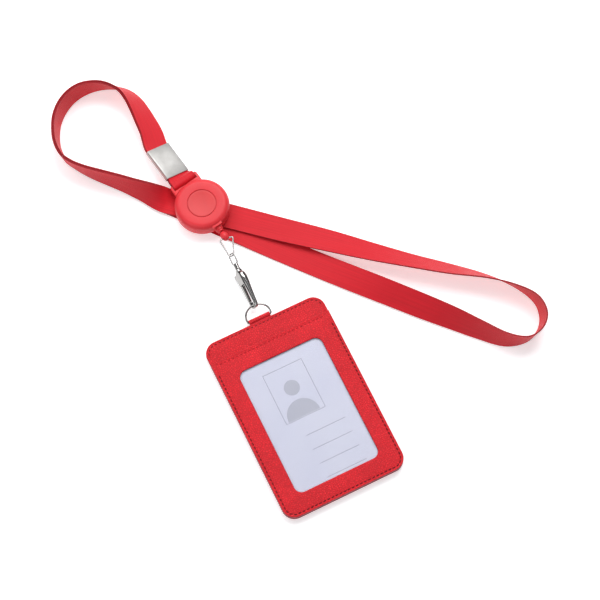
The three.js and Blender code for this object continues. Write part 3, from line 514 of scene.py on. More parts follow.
def skin(rings, closed=False):
    """Vertices and faces over equal rings of points; an open row is capped at both ends."""
    sides = len(rings[0])
    verts = [p for ring in rings for p in ring]
    faces = []
    for i in range(len(rings) if closed else len(rings) - 1):
        here = i * sides
        there = ((i + 1) % len(rings)) * sides
        for j in range(sides):
            k = (j + 1) % sides
            faces.append((here + j, here + k, there + k, there + j))
    if not closed:
        last = (len(rings) - 1) * sides
        faces.append(tuple(range(sides - 1, -1, -1)))
        faces.append(tuple(range(last, last + sides)))
    return verts, faces


def lathe(profile, sides=96, along_y=False):
    """A turned shape from (radius, height) points that start and end on the axis."""
    verts, faces, rows = [], [], []
    for radius, height in profile:
        ring = [(radius * c, radius * s) for c, s in circle(sides)] if radius else [(0, 0)]
        rows.append(range(len(verts), len(verts) + len(ring)))
        verts += [(x, height, -y) if along_y else (x, y, height) for x, y in ring]
    for a, b in zip(rows, rows[1:]):
        for j in range(sides):
            k = (j + 1) % sides
            if len(a) == 1:
                faces.append((a[0], b[j], b[k]))
            elif len(b) == 1:
                faces.append((a[j], b[0], a[k]))
            else:
                faces.append((a[j], b[j], b[k], a[k]))
    return verts, faces


def moved(shape, x=0.0, y=0.0, z=0.0, turn=0.0):
    verts, faces = shape
    matrix = Matrix.Translation((x, y, z)) @ Matrix.Rotation(turn, 4, "Z")
    return [matrix @ Vector(v) for v in verts], faces


def block(x0, x1, y0, y1, z0, z1):
    verts = [(x, y, z) for z in (z0, z1) for x, y in ((x0, y0), (x1, y0), (x1, y1), (x0, y1))]
    faces = [(0, 3, 2, 1), (4, 5, 6, 7), (0, 1, 5, 4), (1, 2, 6, 5), (2, 3, 7, 6), (3, 0, 4, 7)]
    return verts, faces


def rod(radius, start, end, axis="Y", sides=48):
    """Round bar along one of the sub-part's own axes."""
    verts, faces = lathe([(0, start), (radius, start), (radius, end), (0, end)], sides, axis == "Y")
    if axis == "X":
        turn = Matrix.Rotation(math.radians(90), 4, "Y")
        verts = [turn @ Vector(v) for v in verts]
    return verts, faces


def rounded_loop(x0, x1, y0, y1, radii, per_corner=10, per_side=16):
    """Points round a rectangle with a radius for each corner, from the lower right one on."""
    corners = [(x1, y0, 1, -1, -90), (x1, y1, 1, 1, 0), (x0, y1, -1, 1, 90), (x0, y0, -1, -1, 180)]
    turns = [arc(x - sx * r, y - sy * r, r, start, start + 90, per_corner)
             for (x, y, sx, sy, start), r in zip(corners, radii)]
    points = []
    for turn, following in zip(turns, turns[1:] + turns[:1]):
        points += turn
        (ax, ay), (bx, by) = turn[-1], following[0]
        for i in range(1, per_side):
            t = i / per_side
            points.append((ax + (bx - ax) * t, ay + (by - ay) * t))
    return points


def combine(piece, operation, other):
    """Joins another object to the piece, or cuts it away, and removes it."""
    modifier = piece.modifiers.new("combine", "BOOLEAN")
    modifier.operation = operation
    modifier.solver = "EXACT"
    modifier.object = other
    apply_modifiers(piece)
    mesh = other.data
    bpy.data.objects.remove(other)
    bpy.data.meshes.remove(mesh)


def boolean(piece, operation, shapes, matrix):
    """Joins shapes to the piece, or cuts them from it, for good."""
    for verts, faces in shapes:
        combine(piece, operation, finish_mesh("tool", verts, faces, [], matrix))
    soften(piece)


def apply_modifiers(piece):
    graph = bpy.context.evaluated_depsgraph_get()
    done = bpy.data.meshes.new_from_object(piece.evaluated_get(graph))
    old = piece.data
    piece.modifiers.clear()
    piece.data = done
    bpy.data.meshes.remove(old)


def cast(piece, voxel):
    """Gives a piece the soft corners of a die casting."""
    remesh = piece.modifiers.new("voxels", "REMESH")
    remesh.mode = "VOXEL"
    remesh.voxel_size = voxel * MM
    remesh.use_smooth_shade = True
    smooth = piece.modifiers.new("fillet", "SMOOTH")
    smooth.factor = 0.5
    smooth.iterations = 4
    apply_modifiers(piece)


def round_edges(piece, width, segments, angle):
    """Rounds every edge that is sharper than the angle."""
    bevel = piece.modifiers.new("edges", "BEVEL")
    bevel.width = width * MM
    bevel.segments = segments
    bevel.limit_method = "ANGLE"
    bevel.angle_limit = math.radians(angle)
    apply_modifiers(piece)


def sweep(path, radius, sides=16, closed=True):
    """Round wire along points, without twist."""
    count = len(path)
    rings = []
    normal = None
    for i, point in enumerate(path):
        before = path[i - 1] if closed or i else path[0]
        after = path[(i + 1) % count] if closed or i < count - 1 else path[-1]
        along = (after - before).normalized()
        if normal is None:
            normal = along.cross(UP).normalized()
        normal = (normal - along * normal.dot(along)).normalized()
        other = along.cross(normal)
        thick = radius[i] if isinstance(radius, list) else radius
        rings.append([point + normal * (thick * c) + other * (thick * s) for c, s in circle(sides)])
    return skin(rings, closed)


def bezier(points, steps):
    """Points on one Bezier curve of any degree, its last point left out."""
    made = []
    for i in range(steps):
        level, t = [Vector(p) for p in points], i / steps
        while len(level) > 1:
            level = [a.lerp(b, t) for a, b in zip(level, level[1:])]
        made.append(level[0])
    return made


def flat_wire(start, *curves):
    """Points along flat Bezier curves that follow on; each is its steps, its handles and its end."""
    path, here = [], start
    for steps, *points in curves:
        path += bezier([(x, y, 0) for x, y in (here, *points)], steps)
        here = points[-1]
    return path


def gather(name, shapes, material, angle=35):
    """One piece from several closed shapes."""
    verts, faces = [], []
    for made, skinned in shapes:
        offset = len(verts)
        verts += list(made)
        faces += [tuple(offset + v for v in face) for face in skinned]
    return finish_mesh(name, verts, faces, [material], ROW, angle)


def dress(piece, body, slot, *nodes):
    if nodes:
        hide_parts(*nodes)
    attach(piece, body)


# ---- neck strap


def catmull(rows, i, t):
    """Uniform Catmull-Rom through equal tuples, the ends reflected."""
    last = len(rows) - 1
    a = rows[i - 1] if i > 0 else [2 * p - q for p, q in zip(rows[0], rows[1])]
    b, c = rows[i], rows[i + 1]
    d = rows[i + 2] if i + 2 <= last else [2 * p - q for p, q in zip(rows[last], rows[last - 1])]
    value, slope = [], []
    for p, q, r, s in zip(a, b, c, d):
        k1, k2, k3 = r - p, 2 * p - 5 * q + 4 * r - s, 3 * q - p - 3 * r + s
        value.append(0.5 * (2 * q + k1 * t + k2 * t * t + k3 * t**3))
        slope.append(0.5 * (k1 + 2 * k2 * t + 3 * k3 * t * t))
    return value, slope


def strap_stations(per_point=7):
    """Middle, sideways and upward directions along the ribbon, out round one loop and back."""
    pitch = LAYER_PITCH * MM
    half, thin = RIBBON_WIDTH * MM / 2, RIBBON_THICK * MM / 2
    out = [(x, y, math.radians(roll), rise + pitch) for x, y, roll, rise in SMALL_LOOP]
    middle = [(x, y, math.radians(roll), rise) for x, y, roll, rise in BIG_LOOP]
    back = [(x, y, math.radians(-roll), rise) for x, y, roll, rise in reversed(SMALL_LOOP)]
    route = out + middle + back
    stations = []
    for step in range((len(route) - 1) * per_point + 1):
        i = min(step // per_point, len(route) - 2)
        (x, y, roll, rise), (dx, dy, _, _) = catmull(route, i, step / per_point - i)
        along = Vector((dx, dy, 0)).normalized()
        left = Vector((-along.y, along.x, 0))
        across = left * math.cos(roll) + UP * math.sin(roll)
        up = along.cross(across).normalized()
        height = half * abs(math.sin(roll)) + thin * abs(math.cos(roll))
        mid = Vector((x, y, height)) + up * max(rise, 0)
        mid.z = max(mid.z, height)
        stations.append((mid, across, up))
    return stations


def ribbon_section():
    """Half the width and half the thickness in shares: the woven edge is fuller than the flat."""
    steps, flat, edge_from = 14, 0.86, 0.94
    top = []
    for i in range(steps + 1):
        s = -1 + 2 * i / steps
        top.append((s * 0.985, 1.0 if abs(s) > edge_from else flat))
    side = [(0.997, 0.6), (1.0, 0.0), (0.997, -0.6)]
    return top + side + [(-s, -t) for s, t in top + side]


def ribbon_piece(name, stations):
    """Ribbon through the stations; "flat" keeps each point's place across and along the cloth."""
    section = ribbon_section()
    half, thin = RIBBON_WIDTH * MM / 2, RIBBON_THICK * MM / 2
    rings, flat = [], []
    length = 0.0
    for i, (mid, across, up) in enumerate(stations):
        if i:
            length += (mid - stations[i - 1][0]).length
        rings.append([mid + across * (s * half) + up * (t * thin) for s, t in section])
        flat += [(s * half, length, 0) for s, _ in section]
    verts, faces = skin(rings)
    piece = finish_mesh(name, verts, faces, [RIBBON], Matrix.Identity(4), 50)
    attribute = piece.data.attributes.new("flat", "FLOAT_VECTOR", "POINT")
    attribute.data.foreach_set("vector", [v for point in flat for v in point])
    return piece


def crimp_basis():
    """Sideways and upward directions of the tilted band, and the middle between its two layers."""
    across = Vector((-math.cos(CRIMP_TILT), 0, math.sin(CRIMP_TILT)))
    up = Vector((math.sin(CRIMP_TILT), 0, math.cos(CRIMP_TILT)))
    low = RIBBON_WIDTH / 2 * math.sin(CRIMP_TILT) + RIBBON_THICK / 2 * math.cos(CRIMP_TILT)
    return across, up, Vector((CRIMP_SIDE, 0, low)) + up * (CRIMP_RISE + LAYER_PITCH / 2)


def reel_loop_stations():
    """The short loop: under the bar, round it and back, its ends held in the band."""
    across, up, mid = crimp_basis()
    inside = (CRIMP_START + CRIMP_END) / 2 - 0.8
    leave = BAR_Y + BAR_RADIUS
    radius = BAR_RADIUS + GAP + RIBBON_THICK / 2
    steps, turn_steps = 14, 24

    def run(sign):
        made = []
        for y in (inside, CRIMP_START - GAP):
            point = mid + up * (sign * LAYER_PITCH / 2)
            point.y = y
            made.append((point, across, up))
        start, end = made[1][0], Vector((0, leave, BAR_Z + sign * radius))
        for i in range(1, steps):
            t = i / steps
            ease = t * t * (3 - 2 * t)
            roll = CRIMP_TILT * (1 - ease)
            point = start.lerp(end, ease)
            point.y = start.y + (end.y - start.y) * t
            c, s = math.cos(roll), math.sin(roll)
            made.append((point, Vector((-c, 0, s)), Vector((s, 0, c))))
        return made

    turn = []
    for i in range(turn_steps + 1):
        a = math.pi * i / turn_steps
        out = Vector((0, -math.sin(a), -math.cos(a)))
        turn.append((Vector((0, BAR_Y, BAR_Z)) + out * radius, Vector((-1, 0, 0)), out))
    under = [(p, a, -u) for p, a, u in run(-1)]
    spin = REEL.to_3x3().normalized()
    return [(REEL @ p, spin @ a, spin @ u) for p, a, u in under + turn + run(1)[::-1]]


def build_strap():
    strap = ribbon_piece("strap_ribbon", strap_stations())
    dress(strap, "strap", "ribbon", "neck_strap")
    dress(ribbon_piece("reel_loop_ribbon", reel_loop_stations()), "strap", "ribbon", "reel_loop")


def build_crimp():
    """Thin metal band whose wall is rounded off at both mouths."""
    across, up, mid = crimp_basis()
    in_half = RIBBON_WIDTH / 2 + GAP
    in_high = (LAYER_PITCH + RIBBON_THICK) / 2 + GAP
    corner = 0.45
    lip = CRIMP_WALL / 2
    mouth = [(1, 1), (0.85, 0.3), (0.5, 0), (0.15, 0.3), (0, 1)]
    rows = [(CRIMP_WALL * share, CRIMP_END - lip * back) for share, back in mouth]
    rows += [(CRIMP_WALL * share, CRIMP_START + lip * back) for share, back in reversed(mouth)]
    rings = []
    for wall, y in rows:
        w, h, r = in_half + wall, in_high + wall, corner + wall
        rings.append([(x, z, y) for x, z in rounded_loop(-w, w, -h, h, (r,) * 4, 8, 4)])
    basis = Matrix((across, up, Vector((0, 1, 0)))).transposed().to_4x4()
    basis.translation = mid
    band = finish_mesh("crimp_band", *skin(rings, closed=True), [BAND], REEL @ basis)
    dress(band, "strap", "satin_steel", "crimp_sleeve")


# ---- card holder


def node_range(name):
    """Lowest and highest corners of a node's box, in millimetres."""
    low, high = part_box(name)
    return low / MM, high / MM


def panel_rings(low, high, radii, depth_rows):
    """Rings that run inwards over a panel's face: each row is (inset, height)."""
    rings = []
    for inset, height in depth_rows:
        inner = [max(r - inset, 0.05) for r in radii]
        loop = rounded_loop(low.x + inset, high.x - inset, low.y + inset, high.y - inset, inner)
        rings.append([(x, y, height) for x, y in loop])
    return rings


def soft_edge(thick, top):
    """Rows from a panel's lower edge up its side and over the rounded, stitched border."""
    r, mid = EDGE_ROUND, STITCH_INSET
    groove = [(-0.9, 0), (-0.4, 0.10), (0, 0.20), (0.4, 0.10), (0.9, 0)]
    side = [(0.06, top - thick), (0, top - thick + 0.12), (0, top - r), (r * 0.3, top - r * 0.3), (r, top)]
    return side + [(mid + off, top - depth) for off, depth in groove]


def paint_sides(piece):
    """Gives the upright faces of a panel the edge paint."""
    steep = 0.55
    for face in piece.data.polygons:
        if abs(face.normal.z) < steep:
            face.material_index = 1


def flat_panel(name, node, material, radii, down=False, cuts=()):
    """A leather layer with a soft, grooved edge on its good face, which looks up or down."""
    low, high = node_range(node)
    rows = soft_edge(high.z - low.z, high.z)
    if down:
        rows = [(inset, low.z + high.z - z) for inset, z in rows]
    piece = finish_mesh(name, *skin(panel_rings(low, high, radii, rows)), [material, EDGE], ROW)
    boolean(piece, "DIFFERENCE", cuts, ROW)
    paint_sides(piece)
    dress(piece, "holder", material["slot"], node)


def front_panel(radii):
    """The pocket's front: stitched border, a rolled window edge and the space for the card."""
    low, high = node_range("front_pocket_panel")
    top = high.z
    outer = panel_rings(low, high, radii, soft_edge(top - low.z, top))
    middle = Vector((0, WINDOW_MID_Y, 0))
    half = Vector((WINDOW_WIDTH / 2, WINDOW_HEIGHT / 2, 0))
    roll = [(-2.4, top), (-1.2, top + 0.03), (-0.5, top), (-0.16, top - 0.1), (0, top - 0.34), (0, low.z)]
    inner = panel_rings(middle - half, middle + half, (WINDOW_CORNER,) * 4, roll)
    piece = finish_mesh("front_leather", *skin(outer + inner, closed=True), [LEATHER, EDGE], ROW)
    card_low, _ = node_range("id_card")
    _, film_high = node_range("window_film")
    space = block(-POCKET_SIDE, POCKET_SIDE, card_low.y - GAP, high.y + 1, low.z - 1, film_high.z + 0.1)
    boolean(piece, "DIFFERENCE", [space], ROW)
    paint_sides(piece)
    dress(piece, "holder", "leather", "front_pocket_panel")


def stitches(name, line, height, material):
    """Short arched tubes of thread along a line of points, leaning a little off the line."""
    lean, arch, taper = math.radians(7), 0.30, 0.35
    spread = [-1 + k / 3 for k in range(7)]
    lengths = [0.0]
    for a, b in zip(line, line[1:]):
        lengths.append(lengths[-1] + math.dist(a, b))
    count = int(lengths[-1] / STITCH_PITCH)
    spare = (lengths[-1] - count * STITCH_PITCH) / 2
    segment = 0
    shapes = []
    for i in range(count):
        at = spare + (i + 0.5) * STITCH_PITCH
        while lengths[segment + 1] < at:
            segment += 1
        (ax, ay), (bx, by) = line[segment], line[segment + 1]
        t = (at - lengths[segment]) / (lengths[segment + 1] - lengths[segment])
        angle = math.atan2(by - ay, bx - ax) + lean
        along = Vector((math.cos(angle), math.sin(angle), 0))
        mid = Vector((ax + (bx - ax) * t, ay + (by - ay) * t, height))
        path = [mid + along * (s * STITCH_LENGTH / 2) - UP * (arch * s**4) for s in spread]
        thick = [STITCH_RADIUS * (1 - taper * s**4) for s in spread]
        shapes.append(sweep(path, thick, 7, closed=False))
    return gather(name, shapes, material, 60)


def build_holder():
    round_all = (HOLDER_CORNER,) * 4
    pocket = (HOLDER_CORNER, 0.5, 0.5, HOLDER_CORNER)
    _, high = node_range("back_pocket_panel")
    notch = moved(rod(THUMB_NOTCH, -1, 2, "Z", 64), y=high.y)
    flat_panel("back_pocket_leather", "back_pocket_panel", LEATHER, pocket, down=True, cuts=[notch])
    flat_panel("back_leather", "back_panel", LEATHER, round_all)
    flat_panel("lining_leather", "front_lining", LINING, round_all)
    front_panel(pocket)
    build_seams()
    build_tab()
    build_window()
    build_card()


def build_seams():
    """Rows round the pocket's three sides, under its mouth, and over the band above it."""
    low, high = node_range("front_pocket_panel")
    band_low, band_high = node_range("front_lining")
    left, right = low.x + STITCH_INSET, high.x - STITCH_INSET
    corner, square = HOLDER_CORNER - STITCH_INSET, 0.05
    sides = rounded_loop(left, right, low.y + STITCH_INSET, high.y - 1.0, (corner, square, square, corner))
    top_row = [i for i, (_, y) in enumerate(sides) if y > high.y - 1.3]
    open_seam = sides[top_row[-1] + 1:] + sides[: top_row[0]]
    mouth_y, mouth_end, sink = high.y - 2.1, 1.4, 0.02
    mouth = [(left + mouth_end, mouth_y), (right - mouth_end, mouth_y)]
    level = high.z - sink
    dress(stitches("front_stitches", open_seam, level, DARK_THREAD_WITH_PAINTED_SHADE), "holder", "leather")
    dress(stitches("mouth_stitches", mouth, level, RED_THREAD), "holder", "leather")
    edge, proud = 1.8, 0.06
    ring = rounded_loop(band_low.x + edge, band_high.x - edge, band_low.y + edge, band_high.y - edge,
                        (HOLDER_CORNER - edge,) * 4)
    band = [p for p in ring if p[1] > high.y + 0.8]
    band_level = band_high.z + proud - STITCH_RADIUS
    dress(stitches("band_stitches", band, band_level, DARK_THREAD_WITH_PAINTED_SHADE), "holder", "lining")


def build_tab():
    """Leather strip rolled round the D-ring's bar, pinched where it enters the seam."""
    low, high = node_range("d_ring_tab")
    bar = joint_point("holder_fold") / MM
    tail_low, tail_high = node_range("stiffener_board")
    bevel, pinch = 0.12, bar.y - TAB_ROLL - 0.5
    profile = arc(bar.y, bar.z, TAB_ROLL, -150, 150, 32)
    profile += [(pinch, tail_high.z), (low.y, tail_high.z), (low.y, tail_low.z), (pinch, tail_low.z)]
    rings = []
    for x, inset in ((low.x, bevel), (low.x + 0.15, 0.0), (high.x - 0.15, 0.0), (high.x, bevel)):
        ring = []
        for y, z in profile:
            step = Vector((bar.y - y, bar.z - z)).normalized() * inset
            ring.append((x, y + step.x, z + step.y))
        rings.append(ring)
    tab = finish_mesh("tab_leather", *skin(rings), [LEATHER, EDGE], ROW, 50)
    bore = moved(rod(TAB_BORE, low.x - 1, high.x + 1, "X"), y=bar.y, z=bar.z)
    boolean(tab, "DIFFERENCE", [bore], ROW)
    for face in tab.data.polygons:
        if abs(face.normal.x) > 0.7:
            face.material_index = 1
    dress(tab, "holder", "leather", "d_ring_tab")


def build_window():
    low, high = node_range("window_film")
    corner = 2
    rows = [(0, low.z), (0, high.z - 0.05), (0.08, high.z), (3, high.z)]
    rings = panel_rings(low, high, (corner,) * 4, rows)
    dress(finish_mesh("clear_window", *skin(rings), [FILM], ROW), "holder", "clear_film", "window_film")


def build_card():
    """Laminated card and its print: a generic figure in a thin frame, and four blank lines."""
    low, high = node_range("id_card")
    corner = 3.2
    rows = [(0.1, low.z), (0, low.z + 0.1), (0, high.z - 0.1), (0.1, high.z), (2, high.z)]
    card = finish_mesh("card_blank", *skin(panel_rings(low, high, (corner,) * 4, rows)), [CARD], ROW)
    dress(card, "card", "card", "id_card")
    ink = (high.z + 0.004, high.z + 0.03)
    x0, x1, y0, y1 = -13.8, 10.8, -6.0, 25.6
    thin = 0.24
    lines = [block(x0, x1, y1 - thin, y1, *ink), block(x0, x1, y0, y0 + thin, *ink),
             block(x0, x0 + thin, y0 + thin, y1 - thin, *ink),
             block(x1 - thin, x1, y0 + thin, y1 - thin, *ink)]
    rule_start, rule_end, first_rule, rule_pitch = -6.8, 18.0, -16.5, -8.9
    for i in range(4):
        y = first_rule + rule_pitch * i
        lines.append(block(rule_start, rule_end, y, y + thin, *ink))
    head_x, head_y, head_radius = -1.6, 12.3, 4.6
    shoulder_x, shoulder_half, shoulder_height = -2.2, 9.9, 10.2
    head = moved(rod(head_radius, *ink, "Z", 64), head_x, head_y)
    shoulders = half_disc(shoulder_x, y0 + 0.6, shoulder_half, shoulder_height, *ink)
    dress(gather("card_lines", lines, INK_LINE), "card", "card")
    dress(gather("card_figure", [head, shoulders], INK_FILL), "card", "card")


def half_disc(x, y, half_width, height, z0, z1):
    edge = [(x + half_width * c, y + height * s) for c, s in arc(0, 0, 1, 0, 180, 40)]
    return skin([[(px, py, z) for px, py in edge] for z in (z0, z1)])


# ---- rings and hook


def build_dee():
    side, corner, top = D_HALF_WIDTH, D_CORNER, D_HEIGHT
    bow, flank = corner + (top - corner) * 0.62, side * 0.55
    path = flat_wire((corner - side, 0), (16, (side - corner, 0)), (8, (side, 0), (side, corner)),
                     (28, (side, bow), (flank, top), (0, top)),
                     (28, (-flank, top), (-side, bow), (-side, corner)), (8, (-side, 0), (corner - side, 0)))
    ring = finish_mesh("dee_wire", *sweep(path, D_WIRE, 20), [NICKEL], DEE)
    dress(ring, "dee", "nickel", "d_ring")


def build_triangle():
    """Bent wire ring: its ends meet on the bar that runs through the bead."""
    start = joint_point("ring_swing")
    drop = TRI_APEX - start / MM
    down = drop.normalized()
    side = -joint_axis("ring_swing")
    place = local_frame(start, side, down, side.cross(down))
    w, height, turn, blunt, shoulder = TRI_HALF_WIDTH, drop.length, 0.9, 1.5, 1.2
    low, flank = turn + 0.3, height - 0.9
    end = (-3.1, 0.05)
    path = flat_wire((-2.6, 0), (14, (w - turn, 0)), (10, (w + 0.3, 0), (w, low)), (14, (blunt, flank)),
                     (8, (shoulder, height), (0, height)), (8, (-shoulder, height), (-blunt, flank)),
                     (14, (-w, low)), (10, (-w - 0.2, 0.4), end))
    path.append(Vector((*end, 0)))
    ring = finish_mesh("triangle_wire", *sweep(path, TRI_WIRE * DRAWN, 18, closed=False), [NICKEL], place)
    dress(ring, "ring", "nickel", "triangle_ring")


# Half widths and half depths along the hook: narrow nose, full head, drawn in at the swivel.
HOOK_WIDTHS = [(0, 1.7), (0.5, 2.6), (2.4, 3.3), (8, 3.55), (14, 3.9), (18.6, 4.1), (21.5, 3.5),
               (23.6, 1.95), (HOOK_LENGTH, 1.7)]
HOOK_DEPTHS = [(0, 1.1), (0.6, 1.25), (6, 1.4), (12, 1.75), (16, 2.15), (20, 2.3), (23, 2.0),
               (HOOK_LENGTH, 1.6)]


def between(stops, y):
    """Value between (place, value) stops: straight over long gaps, eased over short ones."""
    for (a, p), (b, q) in zip(stops, stops[1:]):
        if y <= b:
            t = (y - a) / (b - a)
            return p + (q - p) * (t * t * (3 - 2 * t) if b - a < 3 else t)
    return stops[-1][1]


def build_hook():
    """Cast hook: a flattened bar with its opening, the gate's slot and the stem's bore cut out."""
    steps, sides, side_square, face_square = 50, 48, 0.62, 0.7
    rings = []
    for i in range(steps + 1):
        y = HOOK_LENGTH * i / steps
        w, h = between(HOOK_WIDTHS, y), between(HOOK_DEPTHS, y)
        ring = []
        for c, s in circle(sides):
            x = w * math.copysign(abs(c) ** side_square, c)
            ring.append((x, y, h * math.copysign(abs(s) ** face_square, s)))
        rings.append(ring)
    body = finish_mesh("hook_casting", *skin(rings), [NICKEL], HOOK)
    reach, outside = 4, -6
    slot = GATE_HALF_THICK + GAP
    cuts = [
        block(-HOOK_OPENING, HOOK_OPENING, NOSE_BAR, HOOK_INNER_END, -reach, reach),
        block(outside, 0.1 - HOOK_OPENING, TIP_END, HOOK_INNER_END, -reach, reach),
        block(outside, GATE_INNER + GAP, HOOK_INNER_END - 1, LEVER_SLOT_END, -slot, slot),
        rod(STEM_RADIUS + 0.2, HOOK_INNER_END - 1, HOOK_LENGTH + 1),
    ]
    boolean(body, "DIFFERENCE", cuts, HOOK)
    cast(body, 0.13)
    pin_hole = moved(rod(PIN_RADIUS + 0.1, -reach, reach, "Z", 32), *GATE_PIVOT)
    boolean(body, "DIFFERENCE", [pin_hole], HOOK)
    soften(body, 55)
    dress(body, "hook", "nickel", "hook_body")


def build_gate():
    """Lever with a long closing arm, rounded edges and a thumb tab."""
    front, thick = TIP_END + GAP, GATE_HALF_THICK
    outline = [(GATE_OUTER, front), (GATE_INNER, front), (GATE_INNER, 12), (GATE_INNER, 20.2), (-3.4, 21.0),
               (-4.4, GATE_TAB_END), (-5.2, GATE_TAB_END), (-5.55, 22.0), (-5.35, 20.8), (-4.3, 18.8),
               (-3.75, 14)]
    rings = [[(x, y, z) for x, y in outline] for z in (-thick, thick)]
    gate = finish_mesh("gate_lever", *skin(rings), [NICKEL], HOOK)
    bore = moved(rod(PIN_RADIUS + 0.15, -4, 4, "Z", 32), *GATE_PIVOT)
    coil_space = moved(rod(0.98, -0.5, 0.5, "Z", 40), *GATE_PIVOT)
    boolean(gate, "DIFFERENCE", [bore, coil_space], HOOK)
    round_edges(gate, 0.14, 3, 40)
    soften(gate, 40)
    dress(gate, "gate", "nickel", "hook_gate")


def build_eye():
    """Wire eye on a ringed collar, whose headed stem turns in the hook."""
    w, start, end = EYE_HALF_WIDTH, EYE_START + EYE_WIRE, EYE_END
    shoulder, foot = end - 1.6, start + 1
    path = flat_wire((1 - w, start), (8, (w - 1, start)), (8, (w, start), (w, foot)), (8, (w, shoulder)),
                     (12, (w, end), (0, end)), (12, (-w, end), (-w, shoulder)), (8, (-w, foot)),
                     (8, (-w, start), (1 - w, start)))
    eye = finish_mesh("eye_wire", *sweep(path, EYE_WIRE * DRAWN, 18), [NICKEL], EYE)
    r, waist = 1.5, 1.32
    low, high = HOOK_LENGTH + GAP, EYE_START + 0.5
    collar = [(0, low), (r - 0.15, low), (r, low + 0.15), (r, low + 1.0), (waist, low + 1.15),
              (waist, low + 1.35), (r, low + 1.5), (r, high - 0.25), (r - 0.25, high), (0, high)]
    stem = [rod(STEM_RADIUS, HOOK_INNER_END - 0.9, HOOK_LENGTH + 1),
            rod(1.2, HOOK_INNER_END - 1.0, HOOK_INNER_END - 0.2), lathe(collar, 48, along_y=True)]
    boolean(eye, "UNION", stem, EYE)
    dress(eye, "eye", "nickel", "swivel_eye")


# ---- reel


def build_back_case():
    """Lower shell with the cord's mouth and the slotted lug that carries the strap's bar."""
    r, inner, floor_top = REEL_RADIUS, REEL_RADIUS - REEL_WALL, REEL_BOTTOM + REEL_FLOOR
    seam, soft, fillet, above = REEL_PART - 0.1, 0.18, 1.2, 20
    profile = [(0, REEL_BOTTOM), *arc(r - fillet, REEL_BOTTOM + fillet, fillet, -90, 0),
               *arc(r - soft, seam - soft, soft, 0, 90, 4), (inner, seam), (inner, floor_top), (0, floor_top)]
    case = finish_mesh("case_back", *lathe(profile, 128), [CORAL], REEL)
    neck_start, edge = -inner - 0.3, 0.25
    neck = [(0, NECK_END), (NECK_RADIUS - edge, NECK_END), (NECK_RADIUS, NECK_END + edge),
            (NECK_RADIUS, neck_start), (0, neck_start)]
    lip_start = NECK_END + 0.2
    lip = [(0, MOUTH_END), (1.6, MOUTH_END), (1.9, MOUTH_END + 0.3), (1.9, lip_start), (0, lip_start)]
    mouth = [moved(lathe(turned, 64, along_y=True), z=CORD_Z) for turned in (neck, lip)]
    boolean(case, "UNION", mouth, REEL)
    cheek = BAR_Y + BAR_RADIUS
    lug = finish_mesh("lug", *lug_block(cheek), [CORAL], REEL)
    cutters = [rod(inner + 0.4, 0, above, "Z", 128), rod(r + GAP, seam, above, "Z", 128),
               block(-SLOT_HALF_WIDTH, SLOT_HALF_WIDTH, SLOT_START, cheek + 1, 0, above)]
    boolean(lug, "DIFFERENCE", cutters, REEL)
    combine(case, "UNION", lug)
    bar = moved(rod(BAR_RADIUS, -SLOT_HALF_WIDTH - 0.5, SLOT_HALF_WIDTH + 0.5, "X"), y=BAR_Y, z=BAR_Z)
    boolean(case, "UNION", [bar], REEL)
    bore = moved(rod(CORD_RADIUS + GAP, MOUTH_END - 1, 1 - inner), z=CORD_Z)
    screw = rod(3.0, 0, REEL_BOTTOM + 0.9, "Z", 64)
    shaft = rod(1.65, 0, floor_top + 1, "Z")
    boolean(case, "DIFFERENCE", [bore, screw, shaft], REEL)
    soften(case, 40)
    dress(case, "reel", "case_plastic", "reel_back_case")


def lug_block(cheek):
    """The lug that carries the strap's bar, with rounded upper and lower edges."""
    soft, half_way, corner = 0.45, 0.13, 1.6
    rows = [(soft, LUG_BOTTOM), (half_way, LUG_BOTTOM + half_way), (0, LUG_BOTTOM + soft),
            (0, LUG_TOP - soft), (half_way, LUG_TOP - half_way), (soft, LUG_TOP)]
    rings = []
    for inset, z in rows:
        half, r = LUG_HALF_WIDTH - inset, corner - inset
        loop = rounded_loop(-half, half, LUG_START, cheek - inset, (0.1, r, r, 0.1))
        rings.append([(x, y, z) for x, y in loop])
    return skin(rings)


def build_front_case():
    """Upper shell with a recess for the label and a raised rib over the cord's mouth."""
    r, inner, base, soft = REEL_RADIUS, REEL_RADIUS - REEL_WALL, REEL_PART + 0.1, 0.18
    ceiling = REEL_TOP - REEL_WALL - LABEL_DEPTH
    lip, slope = 0.25, 1.6
    profile = [(0, ceiling), (inner - slope, ceiling), (inner, ceiling - slope), (inner, base),
               *arc(r - soft, base + soft, soft, -90, 0, 4),
               *arc(r - REEL_FILLET, REEL_TOP - REEL_FILLET, REEL_FILLET, 0, 90, 14),
               *arc(LABEL_RADIUS + lip, REEL_TOP - lip, lip, 90, 180, 6),
               (LABEL_RADIUS, REEL_TOP - LABEL_DEPTH), (0, REEL_TOP - LABEL_DEPTH)]
    case = finish_mesh("case_front", *lathe(profile, 128), [CORAL], REEL)
    rib = finish_mesh("rib", *block(-3, 3, -r - 0.3, -r + 1.6, REEL_TOP - 2.4, REEL_TOP - 1.2), [CORAL], REEL)
    boolean(rib, "DIFFERENCE", [rod(inner + 0.2, 0, 20, "Z", 128)], REEL)
    round_edges(rib, 0.3, 4, 30)
    combine(case, "UNION", rib)
    neck = moved(rod(NECK_RADIUS + GAP, -r - 1, -inner + 1), z=CORD_Z)
    boolean(case, "DIFFERENCE", [neck], REEL)
    soften(case, 40)
    dress(case, "reel", "case_plastic", "reel_front_case")


